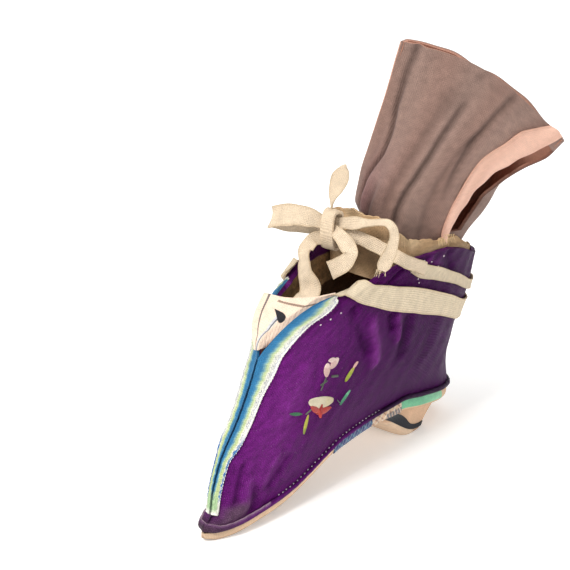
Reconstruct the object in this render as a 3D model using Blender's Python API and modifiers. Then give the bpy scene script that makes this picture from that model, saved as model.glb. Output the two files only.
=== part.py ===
"""Lotus shoe: a silk ankle shoe on a thin cotton sole with a low covered heel, and a high cotton shaft tied with tape.

Metres, +Z up. The toe points to -Y and the wearer's left is +X. The shoe stands on its sole and heel,
and the origin is on the floor under the middle of the heel. The upper is worked out from level rings of
the last: each level runs from the ridge or the throat at the front to the middle of the back. Lengths
along the shoe are measured back from the toe until a piece is made, and then moved to the origin.
"""
import math

import bmesh
import bpy
import numpy as np

MM = 0.001

# Driving sizes of the last
SOLE_LENGTH = 130 * MM
SOLE_HALF_WIDTH = 12 * MM
ARCH_HEIGHT = 14.8 * MM
THROAT_REACH = 57 * MM
INSTEP_HEIGHT = 69.5 * MM
THROAT_HALF_WIDTH = 9.8 * MM
ANKLE_HALF_WIDTH = 20 * MM
COLLAR_CROWN = 7.5 * MM
BACK_HEIGHT = 59.5 * MM
BACK_LEAN = 11 * MM

# Walls and clearances
UPPER_WALL = 1.5 * MM
CLEARANCE = 0.3 * MM
OVERLAY_CLEARANCE = 0.4 * MM
BINDING_CLEARANCE = 0.5 * MM
LINING_CLEARANCE = 0.6 * MM
SEWN_MARGIN = 0.2 * MM
BINDING_LEVEL = 0.045
BINDING_WALL = 0.9 * MM
INSOLE_THICKNESS = 1.0 * MM
RIBBON_THICKNESS = 0.5 * MM
RIBBON_WIDTH = 6.6 * MM
INSERT_THICKNESS = 1.0 * MM
LINING_WALL = 0.8 * MM
SHAFT_WALL = 1.2 * MM

# The heel's foot on the floor, and how far its top reaches beyond it
HEEL_CENTRE = 105 * MM
HEEL_LENGTH = 12 * MM
HEEL_HALF_WIDTH = 9.6 * MM
HEEL_FRONT_REACH = 16 * MM
HEEL_BACK_REACH = 11 * MM
HEEL_FLARE = 1.1 * MM

# The shaft's box, over the collar and behind the throat
SHAFT_FRONT = 92 * MM
SHAFT_DEPTH = 58 * MM
SHAFT_BASE = 64 * MM
SHAFT_HEIGHT = 77 * MM

# The tapes
TAPE_THICKNESS = 0.6 * MM
TAPE_WIDTH = 6.4 * MM
KNOT_HEIGHT = 14 * MM
KNOT_WIDTH = 5.6 * MM
KNOT_PLACE = (-5.0 * MM, 75 * MM, 83.5 * MM)

# Sole, a row for each station: along as a share of the length, width of the half width, heights of the arch
SOLE_COLUMNS = ("along", "width", "edge", "middle", "top")
SOLE_TABLE = (
    (0.003, 0.06, 0.08, 0.08, 0.20),
    (0.030, 0.25, 0.02, 0.02, 0.20),
    (0.085, 0.50, 0.06, 0.00, 0.24),
    (0.146, 0.62, 0.13, 0.00, 0.31),
    (0.208, 0.69, 0.19, 0.00, 0.38),
    (0.255, 0.73, 0.27, 0.06, 0.46),
    (0.323, 0.79, 0.47, 0.39, 0.67),
    (0.385, 0.84, 0.69, 0.67, 0.89),
    (0.460, 0.89, 0.90, 0.90, 1.10),
    (0.592, 0.95, 1.00, 1.00, 1.20),
    (0.708, 0.99, 0.94, 0.94, 1.21),
    (0.800, 1.00, 0.74, 0.74, 1.04),
    (0.885, 0.98, 0.60, 0.60, 0.87),
    (0.946, 0.83, 0.53, 0.53, 0.76),
    (0.985, 0.50, 0.51, 0.51, 0.71),
    (1.000, 0.10, 0.52, 0.52, 0.70),
)

# The front line, ridge and then throat edge: shares of throat reach, instep height and throat half width
FRONT_COLUMNS = ("level", "along", "height", "half")
FRONT_TABLE = (
    (0.00, 0.010, 0.05, 0.00),
    (0.10, 0.080, 0.12, 0.00),
    (0.22, 0.105, 0.22, 0.00),
    (0.34, 0.170, 0.35, 0.00),
    (0.48, 0.342, 0.53, 0.00),
    (0.60, 0.456, 0.68, 0.00),
    (0.70, 0.518, 0.78, 0.00),
    (0.78, 0.596, 0.88, 0.31),
    (0.90, 0.798, 0.97, 0.68),
    (1.00, 1.000, 1.00, 1.00),
)

# The back line: shares of the back's lean beyond the sole and of its height
BACK_COLUMNS = ("level", "lean", "height")
BACK_TABLE = (
    (0.00, 0.05, 0.17),
    (0.25, -0.18, 0.37),
    (0.50, -0.06, 0.58),
    (0.75, 0.50, 0.81),
    (1.00, 1.00, 1.00),
)

# Half widths of the last along each level, as shares of the ankle's half width
WIDTH_COLUMNS = ("share", "low", "middle", "high", "collar")
WIDTH_TABLE = (
    (0.000, 0.00, 0.00, 0.152, 0.49),
    (0.012, 0.15, 0.18, 0.23, 0.505),
    (0.030, 0.25, 0.30, 0.32, 0.53),
    (0.060, 0.33, 0.39, 0.42, 0.57),
    (0.140, 0.46, 0.52, 0.55, 0.675),
    (0.250, 0.58, 0.65, 0.69, 0.83),
    (0.450, 0.70, 0.81, 0.87, 0.98),
    (0.600, 0.75, 0.88, 0.945, 1.00),
    (0.750, 0.78, 0.91, 0.97, 0.94),
    (0.860, 0.73, 0.825, 0.89, 0.81),
    (0.930, 0.60, 0.660, 0.72, 0.64),
    (0.975, 0.38, 0.410, 0.46, 0.41),
    (1.000, 0.00, 0.00, 0.00, 0.00),
)
WIDTH_LEVELS = (0.25, 0.50, 0.78, 1.00)

# How far the collar arches over the line from instep to back, as shares of its crown
COLLAR_TABLE = (
    (0.00, 0.00),
    (0.10, 0.25),
    (0.22, 0.80),
    (0.40, 1.15),
    (0.57, 1.15),
    (0.75, 0.75),
    (0.88, 0.15),
    (1.00, 0.00),
)

UPPER_LEVELS = (
    0, 0.045, 0.10, 0.16, 0.22, 0.28, 0.34, 0.41, 0.48, 0.54,
    0.60, 0.65, 0.70, 0.74, 0.78, 0.82, 0.86, 0.90, 0.95, 1.0,
)
UPPER_SHARES = (
    0, 0.012, 0.03, 0.06, 0.10, 0.14, 0.20, 0.25, 0.30, 0.35, 0.40, 0.45, 0.50,
    0.55, 0.60, 0.65, 0.70, 0.75, 0.79, 0.83, 0.87, 0.90, 0.93, 0.965, 0.985, 1.0,
)


def smooth(xs, ys, at):
    """A curve through the rows that never overshoots them."""
    xs = np.asarray(xs, float)
    ys = np.asarray(ys, float)
    steps = np.diff(xs)
    slopes = np.diff(ys) / steps
    tangents = np.zeros_like(ys)
    before, after = slopes[:-1], slopes[1:]
    turning = before * after <= 0
    total = np.where(turning, 1.0, before + after)
    tangents[1:-1] = np.where(turning, 0.0, 2 * before * after / total)
    tangents[0], tangents[-1] = slopes[0], slopes[-1]
    at = np.clip(np.asarray(at, float), xs[0], xs[-1])
    row = np.clip(np.searchsorted(xs, at, side="right") - 1, 0, len(steps) - 1)
    run = steps[row]
    part = (at - xs[row]) / run
    rest = 1 - part
    ends = ys[row] * (1 + 2 * part) * rest**2 + ys[row + 1] * (1 + 2 * rest) * part**2
    return ends + run * (tangents[row] * part * rest**2 - tangents[row + 1] * part**2 * rest)


def read(table, columns, name, key, at):
    """The value of one named column at a place along another."""
    keys = [row[columns.index(key)] for row in table]
    values = [row[columns.index(name)] for row in table]
    return smooth(keys, values, at)


def sole(name, along):
    """A size of the sole at a distance back from the toe."""
    unit = SOLE_HALF_WIDTH if name == "width" else ARCH_HEIGHT
    return unit * read(SOLE_TABLE, SOLE_COLUMNS, name, "along", along / SOLE_LENGTH)


def front_line(level):
    """Half width, distance from the toe and height of the ridge or the throat's edge."""
    along = THROAT_REACH * read(FRONT_TABLE, FRONT_COLUMNS, "along", "level", level)
    height = INSTEP_HEIGHT * read(FRONT_TABLE, FRONT_COLUMNS, "height", "level", level)
    half = THROAT_HALF_WIDTH * read(FRONT_TABLE, FRONT_COLUMNS, "half", "level", level)
    return half, along, height


def back_line(level):
    lean = read(BACK_TABLE, BACK_COLUMNS, "lean", "level", level)
    height = read(BACK_TABLE, BACK_COLUMNS, "height", "level", level)
    return SOLE_LENGTH + BACK_LEAN * lean, BACK_HEIGHT * height


def half_width(share, level, along):
    """Half width of the last: the sole's own outline at the bottom, and the table above it."""
    names = WIDTH_COLUMNS[1:]
    rows = [ANKLE_HALF_WIDTH * read(WIDTH_TABLE, WIDTH_COLUMNS, name, "share", share) for name in names]
    tip = min(1.0, share / WIDTH_TABLE[1][0]) * min(1.0, (1 - share) / 0.015) ** 0.5
    bottom = (sole("width", along) + SEWN_MARGIN) * tip
    half = smooth((0.0,) + WIDTH_LEVELS, [bottom] + rows, level)
    front = [ANKLE_HALF_WIDTH * row for row in WIDTH_TABLE[0][1:]]
    table_front = smooth((0.0,) + WIDTH_LEVELS, [0.0] + front, level)
    near_front = max(0.0, 1 - share / 0.06)
    return half + (front_line(level)[0] - table_front) * near_front


def last_point(share, level):
    """A point on the outside of the upper's left half: half width, distance from the toe, height."""
    _, front_along, front_height = front_line(level)
    back_along, back_height = back_line(level)
    along = front_along + (back_along - front_along) * share

    toe_along = front_line(0)[1]
    heel_along = back_line(0)[0]
    seam_along = toe_along + (heel_along - toe_along) * share
    seam = sole("top", seam_along) + CLEARANCE
    seam_line = (1 - share) * front_line(0)[2] + share * back_line(0)[1]
    shares, crowns = zip(*COLLAR_TABLE)
    arch = COLLAR_CROWN * smooth(shares, crowns, share)

    height = (1 - share) * front_height + share * back_height
    height += (seam - seam_line) * (1 - level) ** 1.3 + arch * level**1.5
    return np.array((half_width(share, level, along), along, height))


def plan_normal(share, level):
    """The outward direction across the wall, seen from above."""
    closed_front = front_line(level)[0] <= 0
    if share <= 0 and closed_front:
        return np.array((0.0, -1.0, 0.0))
    if share >= 1:
        return np.array((0.0, 1.0, 0.0))
    step = 0.004
    ahead = last_point(min(1.0, share + step), level)
    behind = last_point(max(0.0, share - step), level)
    along = ahead - behind
    normal = np.array((along[1], -along[0], 0.0))
    return normal / np.linalg.norm(normal)


def surface_normal(share, level):
    step = 0.004
    across = last_point(min(1.0, share + step), level) - last_point(max(0.0, share - step), level)
    up = last_point(share, min(1.0, level + step)) - last_point(share, max(0.0, level - step))
    normal = np.cross(across, up)
    if share <= 0 and front_line(level)[0] <= 0 or share >= 1:
        normal[0] = 0.0
    return normal / np.linalg.norm(normal)


def offset_point(share, level, out):
    """A point off the upper's surface, on the shoe's left side."""
    return last_point(share, level) + out * surface_normal(share, level)


def sided(point, side):
    return (point[0] * side, point[1], point[2])


def share_at(level, distance):
    """The share of a level that lies a given distance from its front, measured in plan."""
    shares = np.linspace(0, 0.4, 60)
    points = np.array([last_point(share, level)[:2] for share in shares])
    lengths = np.concatenate(([0.0], np.cumsum(np.linalg.norm(np.diff(points, axis=0), axis=1))))
    return float(np.interp(distance, lengths, shares))


def make_material(name, colour, roughness):
    material = bpy.data.materials.new(name)
    material.use_nodes = True
    shader = material.node_tree.nodes["Principled BSDF"]
    shader.inputs["Base Color"].default_value = (*colour, 1)
    shader.inputs["Roughness"].default_value = roughness
    return material


def clear_scene():
    for thing in list(bpy.data.objects):
        bpy.data.objects.remove(thing, do_unlink=True)


def add_piece(name, points, faces, material, weld=True):
    """A mesh in the shoe's frame from points measured back from the toe."""
    mesh = bpy.data.meshes.new(name)
    moved = [(x, y - HEEL_CENTRE, z) for x, y, z in points]
    mesh.from_pydata(moved, [], faces)
    build = bmesh.new()
    build.from_mesh(mesh)
    if weld:
        bmesh.ops.remove_doubles(build, verts=build.verts, dist=1e-6)
    bmesh.ops.recalc_face_normals(build, faces=build.faces)
    build.to_mesh(mesh)
    build.free()
    mesh.materials.append(material)
    mesh.shade_smooth()
    mesh.set_sharp_from_angle(angle=math.radians(40))
    piece = bpy.data.objects.new(name, mesh)
    collection.objects.link(piece)
    return piece


def grid_faces(rows, columns, closed, skip=()):
    """Quads of a grid of points, row by row, leaving out the cells in skip."""
    faces = []
    cells = columns if closed else columns - 1
    for row in range(rows - 1):
        for column in range(cells):
            if (row, column) in skip:
                continue
            after = (column + 1) % columns
            first, second = row * columns, (row + 1) * columns
            faces.append((first + column, first + after, second + after, second + column))
    return faces


def wall(name, outer, inner, material, closed=False, skip=()):
    """A closed solid between two grids of points with the same rows and columns."""
    rows, columns = len(outer), len(outer[0])
    points = [point for row in outer for point in row] + [point for row in inner for point in row]
    behind = rows * columns
    front_faces = grid_faces(rows, columns, closed, skip)
    faces = front_faces + [tuple(behind + corner for corner in reversed(face)) for face in front_faces]

    keys = {}
    for index, point in enumerate(points[:behind]):
        keys[index] = tuple(round(value * 1e7) for value in point)
    used = {}
    for face in front_faces:
        for a, b in zip(face, face[1:] + face[:1]):
            edge = frozenset((keys[a], keys[b]))
            used.setdefault(edge, []).append((a, b))
    for edge, sides in used.items():
        if len(sides) == 1 and len(edge) == 2:
            a, b = sides[0]
            faces.append((b, a, behind + a, behind + b))
    return add_piece(name, points, faces, material)


def loft(name, rings, material, strips=False):
    """A closed solid through rings with the same number of points. Curved ends are closed by strips across."""
    count = len(rings[0])
    points = [point for ring in rings for point in ring]
    faces = grid_faces(len(rings), count, closed=True)
    for start in (0, (len(rings) - 1) * count):
        if not strips:
            faces.append(tuple(start + index for index in range(count)))
            continue
        quarter = count // 4
        for index in range(-quarter, quarter):
            pair = (index, index + 1, count // 2 - index - 1, count // 2 - index)
            corners = [start + corner % count for corner in pair]
            faces.append(tuple(dict.fromkeys(corners)))
    return add_piece(name, points, faces, material)


def make_outsole(material):
    """Thin layered cotton sole: needle toe, flat tread under the ball, steep arch and heel seat."""
    alongs = sorted({row[0] for row in SOLE_TABLE} | set(np.round(np.linspace(0.03, 0.97, 24), 3)) | {0.955, 0.993})
    rings = []
    for share in alongs:
        along = share * SOLE_LENGTH
        width, edge, middle, top = (sole(name, along) for name in SOLE_COLUMNS[1:])
        shoulder = middle + (edge - middle) * 0.4
        half = ((width, top), (width, edge), (width * 0.78, shoulder), (width * 0.4, middle))
        left = [(x, along, z) for x, z in half]
        right = [(-x, along, z) for x, z in reversed(half)]
        rings.append(left + right)
    return loft("outsole", rings, material)


def make_heel(material):
    """Low covered heel: it slopes forward under the arch and stands on a small flat foot."""
    rings = []
    for height in (0.0, 0.12, 0.35, 0.6, 0.8, 1.0):
        front = HEEL_CENTRE - HEEL_LENGTH / 2 - HEEL_FRONT_REACH * height
        back = HEEL_CENTRE + HEEL_LENGTH / 2 + HEEL_BACK_REACH * height**1.2
        half = HEEL_HALF_WIDTH + HEEL_FLARE * height
        middle, reach = (front + back) / 2, (back - front) / 2
        top_front = HEEL_CENTRE - HEEL_LENGTH / 2 - HEEL_FRONT_REACH
        top_back = HEEL_CENTRE + HEEL_LENGTH / 2 + HEEL_BACK_REACH
        ring = []
        for turn in np.arange(20) * 2 * math.pi / 20:
            across, ahead = math.cos(turn), math.sin(turn)
            x = half * math.copysign(abs(across) ** 0.45, across)
            run = math.copysign(abs(ahead) ** 0.6, ahead)
            seat_along = (top_front + top_back) / 2 + run * (top_back - top_front) / 2
            seat = min(sole("middle", seat_along), sole("edge", seat_along)) - CLEARANCE
            ring.append((x, middle + reach * run, seat * height))
        rings.append(ring)
    return loft("heel", rings, material, strips=True)


def make_insole(material):
    """Thin cotton insole, clear of the wall inside it."""
    inset = UPPER_WALL - SEWN_MARGIN + CLEARANCE * 2
    rings = []
    for share in np.linspace(0.075, 0.96, 26):
        along = share * SOLE_LENGTH
        width = sole("width", along) - inset
        base = sole("top", along) + CLEARANCE
        top = base + INSOLE_THICKNESS
        rings.append([(width, along, top), (width, along, base), (-width, along, base), (-width, along, top)])
    return loft("insole", rings, material)


def both_sides(level, at):
    """One row of points from the left front, round the back, to the right front."""
    left = [at(share, level) for share in UPPER_SHARES]
    right = [sided(point, -1) for point in reversed(left[:-1])]
    return [tuple(point) for point in left] + right


def make_upper(material):
    """The silk upper: one hollow wall, closed at the ridge, open at the throat, the collar and underneath."""
    outer = [both_sides(level, last_point) for level in UPPER_LEVELS]
    inner = [
        both_sides(level, lambda share, at: last_point(share, at) - UPPER_WALL * plan_normal(share, at))
        for level in UPPER_LEVELS
    ]
    return wall("upper", outer, inner, material)


def make_binding(material):
    """Bias piping round the foot of the upper, over the seam with the sole."""
    rows = ((0.0, 0.0), (0.35, 1.0), (0.75, 1.0), (1.0, 0.0))

    def ring(level_share, out_share):
        level = BINDING_LEVEL * level_share
        out = BINDING_CLEARANCE + BINDING_WALL * out_share
        return both_sides(level, lambda share, at: last_point(share, at) + out * plan_normal(share, at))

    section = [ring(*row)[:-1] for row in rows]
    count = len(section[0])
    points = [point for row in section for point in row]
    faces = []
    for row in range(len(section)):
        for column in range(count):
            after = (column + 1) % count
            second = (row + 1) % len(section)
            faces.append((row * count + column, row * count + after, second * count + after, second * count + column))
    return add_piece("sole_binding", points, faces, material)


# Reach of the three ribbons back from the ridge or the throat's edge, as shares of their full width
RIBBON_ROWS = (
    (0.10, 0.36),
    (0.34, 0.40),
    (0.41, 0.66),
    (0.54, 0.74),
    (0.65, 1.00),
    (0.74, 1.14),
    (0.78, 1.20),
    (0.82, 1.40),
    (0.86, 1.95),
    (0.90, 1.75),
    (0.95, 0.95),
    (1.00, 0.30),
)
RIBBON_PARTS = (0, 0.15, 0.3, 0.5, 0.7, 0.85, 1)


def make_ribbons(name, side, material):
    """Ribbon trim along the ridge and the throat, a strip lifted off the upper's own surface."""
    reach_levels, reaches = zip(*RIBBON_ROWS)
    low, high = OVERLAY_CLEARANCE, OVERLAY_CLEARANCE + RIBBON_THICKNESS
    outer, inner = [], []
    for level in UPPER_LEVELS[2:]:
        start = CLEARANCE if front_line(level)[0] <= 0 else 0.0
        reach = RIBBON_WIDTH * smooth(reach_levels, reaches, level)
        shares = [share_at(level, start + part * reach) for part in RIBBON_PARTS]
        inner.append([sided(offset_point(share, level, low), side) for share in shares])
        outer.append([sided(offset_point(share, level, high), side) for share in shares])
    return wall(name, outer, inner, material)


# The cotton insert in the throat: near side tucked behind the left ribbon, far side lifted over the right edge.
# Heights are shares of the instep height, the rest shares of the throat's half width and reach
INSERT_COLUMNS = ("height", "left", "left_along", "right", "right_along")
INSERT_TABLE = (
    (0.83, 0.02, 0.545, -0.06, 0.500),
    (0.87, 0.08, 0.575, -0.26, 0.520),
    (0.91, 0.20, 0.625, -0.50, 0.560),
    (0.95, 0.36, 0.700, -0.72, 0.630),
    (0.98, 0.52, 0.790, -0.86, 0.700),
    (1.01, 0.68, 0.900, -0.92, 0.760),
)


def make_insert(material):
    """Cotton panel that fills the throat between the ribbons."""
    outer, inner = [], []
    for height, left, left_along, right, right_along in INSERT_TABLE:
        start = np.array((THROAT_HALF_WIDTH * left, THROAT_REACH * left_along, INSTEP_HEIGHT * height))
        end = np.array((THROAT_HALF_WIDTH * right, THROAT_REACH * right_along, INSTEP_HEIGHT * height))
        span = end - start
        forward = np.array((-span[1], span[0], 0.0)) / np.linalg.norm(span[:2])
        bulge = 0.14 * np.linalg.norm(span)
        row = [start + span * part + forward * bulge * math.sin(math.pi * part) for part in np.linspace(0, 1, 7)]
        outer.append([tuple(point) for point in row])
        inner.append([tuple(point - forward * INSERT_THICKNESS) for point in row])
    return wall("vamp_insert", outer, inner, material)


# Lining over the collar: how far it stands above the collar at each place round the ankle
LINING_FRONT = 89 * MM
LINING_PARTS = (0, 0.10, 0.22, 0.35, 0.48, 0.61, 0.74, 0.83, 0.90, 0.955, 0.985)
LINING_RISE = 12 * MM
LINING_BULGE = 3 * MM
LINING_RISES = (
    (0.00, 0.50), (0.10, 0.30), (0.20, 0.30), (0.30, 0.25), (0.38, 0.08), (0.45, 0.08),
    (0.55, 0.25), (0.68, 0.40), (0.76, 0.80), (0.84, 1.05), (0.92, 1.00), (1.00, 0.50),
)


def lining_row(level, rise, inset):
    """A ring inside the upper's wall that crosses in front of the ankle. It starts at the left front."""
    depth = UPPER_WALL + LINING_CLEARANCE + inset
    front_along, back_along = front_line(level)[1], back_line(level)[0]
    first = (LINING_FRONT - front_along) / (back_along - front_along)
    shares = [first + (1 - first) * part for part in LINING_PARTS]
    left = [last_point(share, level) - depth * plan_normal(share, level) for share in shares]
    back = last_point(1.0, level) - depth * plan_normal(1.0, level)
    right = [np.array(sided(point, -1)) for point in reversed(left)]
    start, end = right[-1], left[0]
    front = []
    for part in np.linspace(0, 1, 9)[1:-1]:
        bulge = np.array((0.0, inset - LINING_BULGE, 0.0)) * math.sin(math.pi * part) ** 0.7
        front.append(start + (end - start) * part + bulge)
    ring = left + [back] + right + front
    raised = []
    for index, point in enumerate(ring):
        shares, rises = zip(*LINING_RISES)
        lift = LINING_RISE * rise * float(np.interp(index / len(ring), shares, rises))
        raised.append((point[0], point[1], point[2] + lift))
    return raised


def make_lining(material):
    """Beige cotton lining that stands above the collar and closes in front of the ankle."""
    rows = ((0.80, 0.0), (0.88, 0.0), (0.95, 0.0), (1.0, 0.0), (1.0, 0.5), (1.0, 1.0))
    outer = [lining_row(level, rise, 0.0) for level, rise in rows]
    inner = [lining_row(level, rise, LINING_WALL) for level, rise in rows]
    return wall("collar_lining", outer, inner, material, closed=True)


# The shaft's five rails from its foot to its hem: the far edge, the middle of the front panel, its near lip,
# the back panel's near lip, and the middle of the back panel. Across in shares of the ankle's half width,
# back in shares of the shaft's depth, up in shares of its height
SHAFT_RAILS = {
    "far": (
        (-0.785, 0.28, 0.00), (-0.79, 0.24, 0.16), (-0.70, 0.14, 0.27), (-0.58, 0.13, 0.40), (-0.50, 0.17, 0.52),
        (-0.42, 0.21, 0.635), (-0.32, 0.24, 0.753), (-0.22, 0.267, 0.883), (-0.10, 0.276, 1.00),
    ),
    "front": (
        (0.00, 0.03, 0.03), (0.05, 0.02, 0.16), (0.10, 0.02, 0.26), (0.20, 0.05, 0.364), (0.35, 0.13, 0.468),
        (0.525, 0.24, 0.584), (0.70, 0.345, 0.685), (0.875, 0.448, 0.782), (1.05, 0.552, 0.880),
    ),
    "near": (
        (0.785, 0.28, 0.00), (0.80, 0.28, 0.14), (0.90, 0.29, 0.24), (1.00, 0.32, 0.325), (1.125, 0.37, 0.42),
        (1.30, 0.448, 0.51), (1.475, 0.552, 0.558), (1.675, 0.68, 0.61), (1.875, 0.83, 0.61),
    ),
    "lip": (
        (0.67, 0.41, -0.01), (0.70, 0.53, 0.09), (0.68, 0.67, 0.15), (0.625, 0.81, 0.188), (0.75, 0.88, 0.234),
        (0.95, 0.92, 0.286), (1.20, 0.966, 0.338), (1.475, 1.03, 0.383), (1.925, 0.983, 0.506),
    ),
    "back": (
        (0.00, 0.66, -0.06), (0.00, 0.84, 0.05), (0.05, 0.97, 0.10), (0.15, 1.017, 0.195), (0.25, 1.01, 0.312),
        (0.40, 1.00, 0.44), (0.525, 0.948, 0.571), (0.65, 0.862, 0.70), (0.875, 0.716, 0.825),
    ),
}
SHAFT_FAR_SLIT = 3.2 * MM
SHAFT_JOIN = 0.93
SHAFT_FOOT = 0.14
PANEL_CELLS = 13


def rail(name, up):
    """A point on one of the shaft's rails, with up running from 0 at its foot to 1 at its hem."""
    rows = np.array(SHAFT_RAILS[name])
    places = np.linspace(0, 1, len(rows))
    across, back, height = (smooth(places, rows[:, axis], up) for axis in range(3))
    return np.array((ANKLE_HALF_WIDTH * across, SHAFT_FRONT + SHAFT_DEPTH * back, SHAFT_BASE + SHAFT_HEIGHT * height))


def shaft_row(up):
    far, front, near, lip, back = (rail(name, up) for name in ("far", "front", "near", "lip", "back"))
    far_behind = far + np.array((0.0, SHAFT_FAR_SLIT, 0.0))
    row = []
    for part in np.linspace(0, 1, PANEL_CELLS + 1):
        bulge = (front - (far + near) / 2) * math.sin(math.pi * part)
        row.append(far + (near - far) * part + bulge)
    for part in np.linspace(0, 1, PANEL_CELLS + 1):
        bulge = (back - (lip + far_behind) / 2) * math.sin(math.pi * part) ** 0.8
        row.append(lip + (far_behind - lip) * part + bulge)
    return row


def make_shaft(material):
    """Cotton leg: a front and a back panel, joined at the foot and under the hem, with a slit at each side."""
    ups = np.concatenate((np.linspace(0, SHAFT_JOIN, 16), [1.0]))
    outer = [shaft_row(up) for up in ups]
    columns = len(outer[0])
    slits = (PANEL_CELLS, columns - 1)
    skip = {
        (row, slit)
        for row in range(len(ups) - 2)
        for slit in slits
        if ups[row] >= SHAFT_FOOT
    }
    points = [tuple(point) for row in outer for point in row]
    shaft = add_piece("shaft", points, grid_faces(len(ups), columns, True, skip), material, weld=False)
    thicken(shaft, -1)
    return shaft


def thicken(piece, direction, thickness=None):
    solid = piece.modifiers.new("Wall", "SOLIDIFY")
    solid.thickness = SHAFT_WALL if thickness is None else thickness
    solid.offset = direction
    solid.use_even_offset = False


# Ankle bands, a row for each place: share of the way back, level on the upper, half height in levels, and how
# far the tape lifts to pass over the ribbons
BAND_ROWS = {
    "ankle_band_lower": (
        (0.012, 0.985, 0.006, 1.0),
        (0.06, 0.975, 0.022, 1.0),
        (0.12, 0.955, 0.034, 1.0),
        (0.20, 0.905, 0.040, 0.6),
        (0.30, 0.846, 0.044, 0.0),
        (0.42, 0.789, 0.052, 0.0),
        (0.51, 0.757, 0.057, 0.0),
        (0.64, 0.705, 0.060, 0.0),
        (0.76, 0.670, 0.059, 0.0),
        (0.91, 0.641, 0.056, 0.0),
        (1.00, 0.640, 0.055, 0.0),
    ),
    "ankle_band_upper": (
        (0.42, 0.955, 0.034, 0.0),
        (0.52, 0.895, 0.038, 0.0),
        (0.60, 0.865, 0.036, 0.0),
        (0.75, 0.820, 0.031, 0.0),
        (0.91, 0.788, 0.030, 0.0),
        (1.00, 0.790, 0.030, 0.0),
    ),
}
BAND_CLEARANCE = 0.6 * MM


def make_band(name, material):
    """A tape that lies round the ankle on the upper, from its left front round the back to its right front."""
    shares, levels, halves, lifts = zip(*BAND_ROWS[name])
    places = [share for share in UPPER_SHARES if share >= shares[0]]

    def half(side, depth):
        rows = []
        for share in places:
            level = smooth(shares, levels, share)
            spread = smooth(shares, halves, share)
            lift = smooth(shares, lifts, share) * (OVERLAY_CLEARANCE + RIBBON_THICKNESS)
            heights = [min(1.0, level + spread * part) for part in (-1, -0.33, 0.33, 1)]
            out = BAND_CLEARANCE + lift + depth
            rows.append([sided(offset_point(share, height, out), side) for height in heights])
        return rows

    def loop(depth):
        return half(1, depth) + list(reversed(half(-1, depth)))[1:]

    return wall(name, loop(TAPE_THICKNESS), loop(0.0), material)


# Free tapes, each a route chosen by hand: across, back from the toe and up, in millimetres, then a share of
# the tape's width and the way that its face looks
PULL_TAPE = (
    (-1.0, 37.8, 64.6, 0.55, (0.0, -0.3, 1.0)),
    (-0.6, 42.0, 65.2, 0.85, (0.0, -0.3, 1.0)),
    (0.0, 48.0, 65.8, 1.05, (0.1, -0.4, 1.0)),
    (0.3, 54.0, 66.8, 1.15, (0.2, -0.6, 1.0)),
    (-0.8, 58.0, 68.8, 1.20, (0.2, -1.0, 0.5)),
    (-4.0, 59.7, 72.3, 1.05, (0.0, -1.0, 0.1)),
    (-7.5, 63.2, 75.4, 0.85, (0.1, -1.0, 0.0)),
    (-9.6, 67.0, 78.0, 0.75, (0.2, -1.0, 0.1)),
    (-9.4, 70.6, 80.2, 0.72, (0.4, -0.9, 0.2)),
    (-7.6, 73.2, 80.6, 0.70, (0.4, -0.9, 0.2)),
)
UPRIGHT_END = (
    (-5.6, 75.4, 89.7, 0.22, (-0.8, -0.5, 0.0)),
    (-5.6, 76.0, 94.0, 0.34, (-0.8, -0.5, 0.0)),
    (-4.4, 76.4, 98.0, 0.66, (-0.7, -0.7, 0.0)),
    (-3.0, 76.8, 102.0, 0.72, (-0.5, -0.8, 0.1)),
    (-1.9, 77.2, 105.0, 0.40, (-0.5, -0.8, 0.1)),
    (-1.4, 77.4, 106.6, 0.10, (-0.5, -0.8, 0.1)),
)
BOW_LOOP = (
    (-7.7, 73.8, 85.7, 0.70, (0.2, -1.0, 0.3)),
    (-11.5, 71.6, 87.2, 1.00, (0.2, -1.0, 0.3)),
    (-16.0, 69.4, 87.8, 1.12, (0.2, -1.0, 0.3)),
    (-20.5, 67.8, 87.0, 1.15, (0.0, -1.0, 0.3)),
    (-23.8, 67.4, 85.6, 1.14, (-0.5, -0.8, 0.3)),
    (-25.2, 69.2, 84.2, 1.10, (-1.0, 0.0, 0.2)),
    (-24.2, 71.4, 83.0, 1.08, (-0.5, 0.9, 0.0)),
    (-20.5, 73.4, 82.4, 1.05, (-0.2, 1.0, 0.0)),
    (-16.0, 75.0, 82.4, 1.00, (-0.2, 1.0, 0.0)),
    (-11.5, 76.4, 82.8, 0.84, (-0.2, 1.0, 0.0)),
    (-7.6, 76.6, 83.4, 0.66, (-0.2, 1.0, 0.0)),
)
FOLDED_END = (
    (-2.6, 73.3, 84.4, 0.55, (0.5, -0.8, 0.4)),
    (1.5, 71.4, 83.6, 0.75, (0.5, -0.8, 0.4)),
    (5.0, 70.2, 81.8, 0.85, (0.4, -0.8, 0.5)),
    (7.2, 69.4, 79.8, 0.70, (0.6, -0.7, 0.5)),
    (6.4, 67.8, 77.4, 0.85, (0.3, -0.9, 0.4)),
    (4.0, 66.4, 75.2, 0.98, (0.2, -1.0, 0.3)),
    (1.6, 65.4, 73.6, 1.00, (0.2, -1.0, 0.3)),
)
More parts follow.
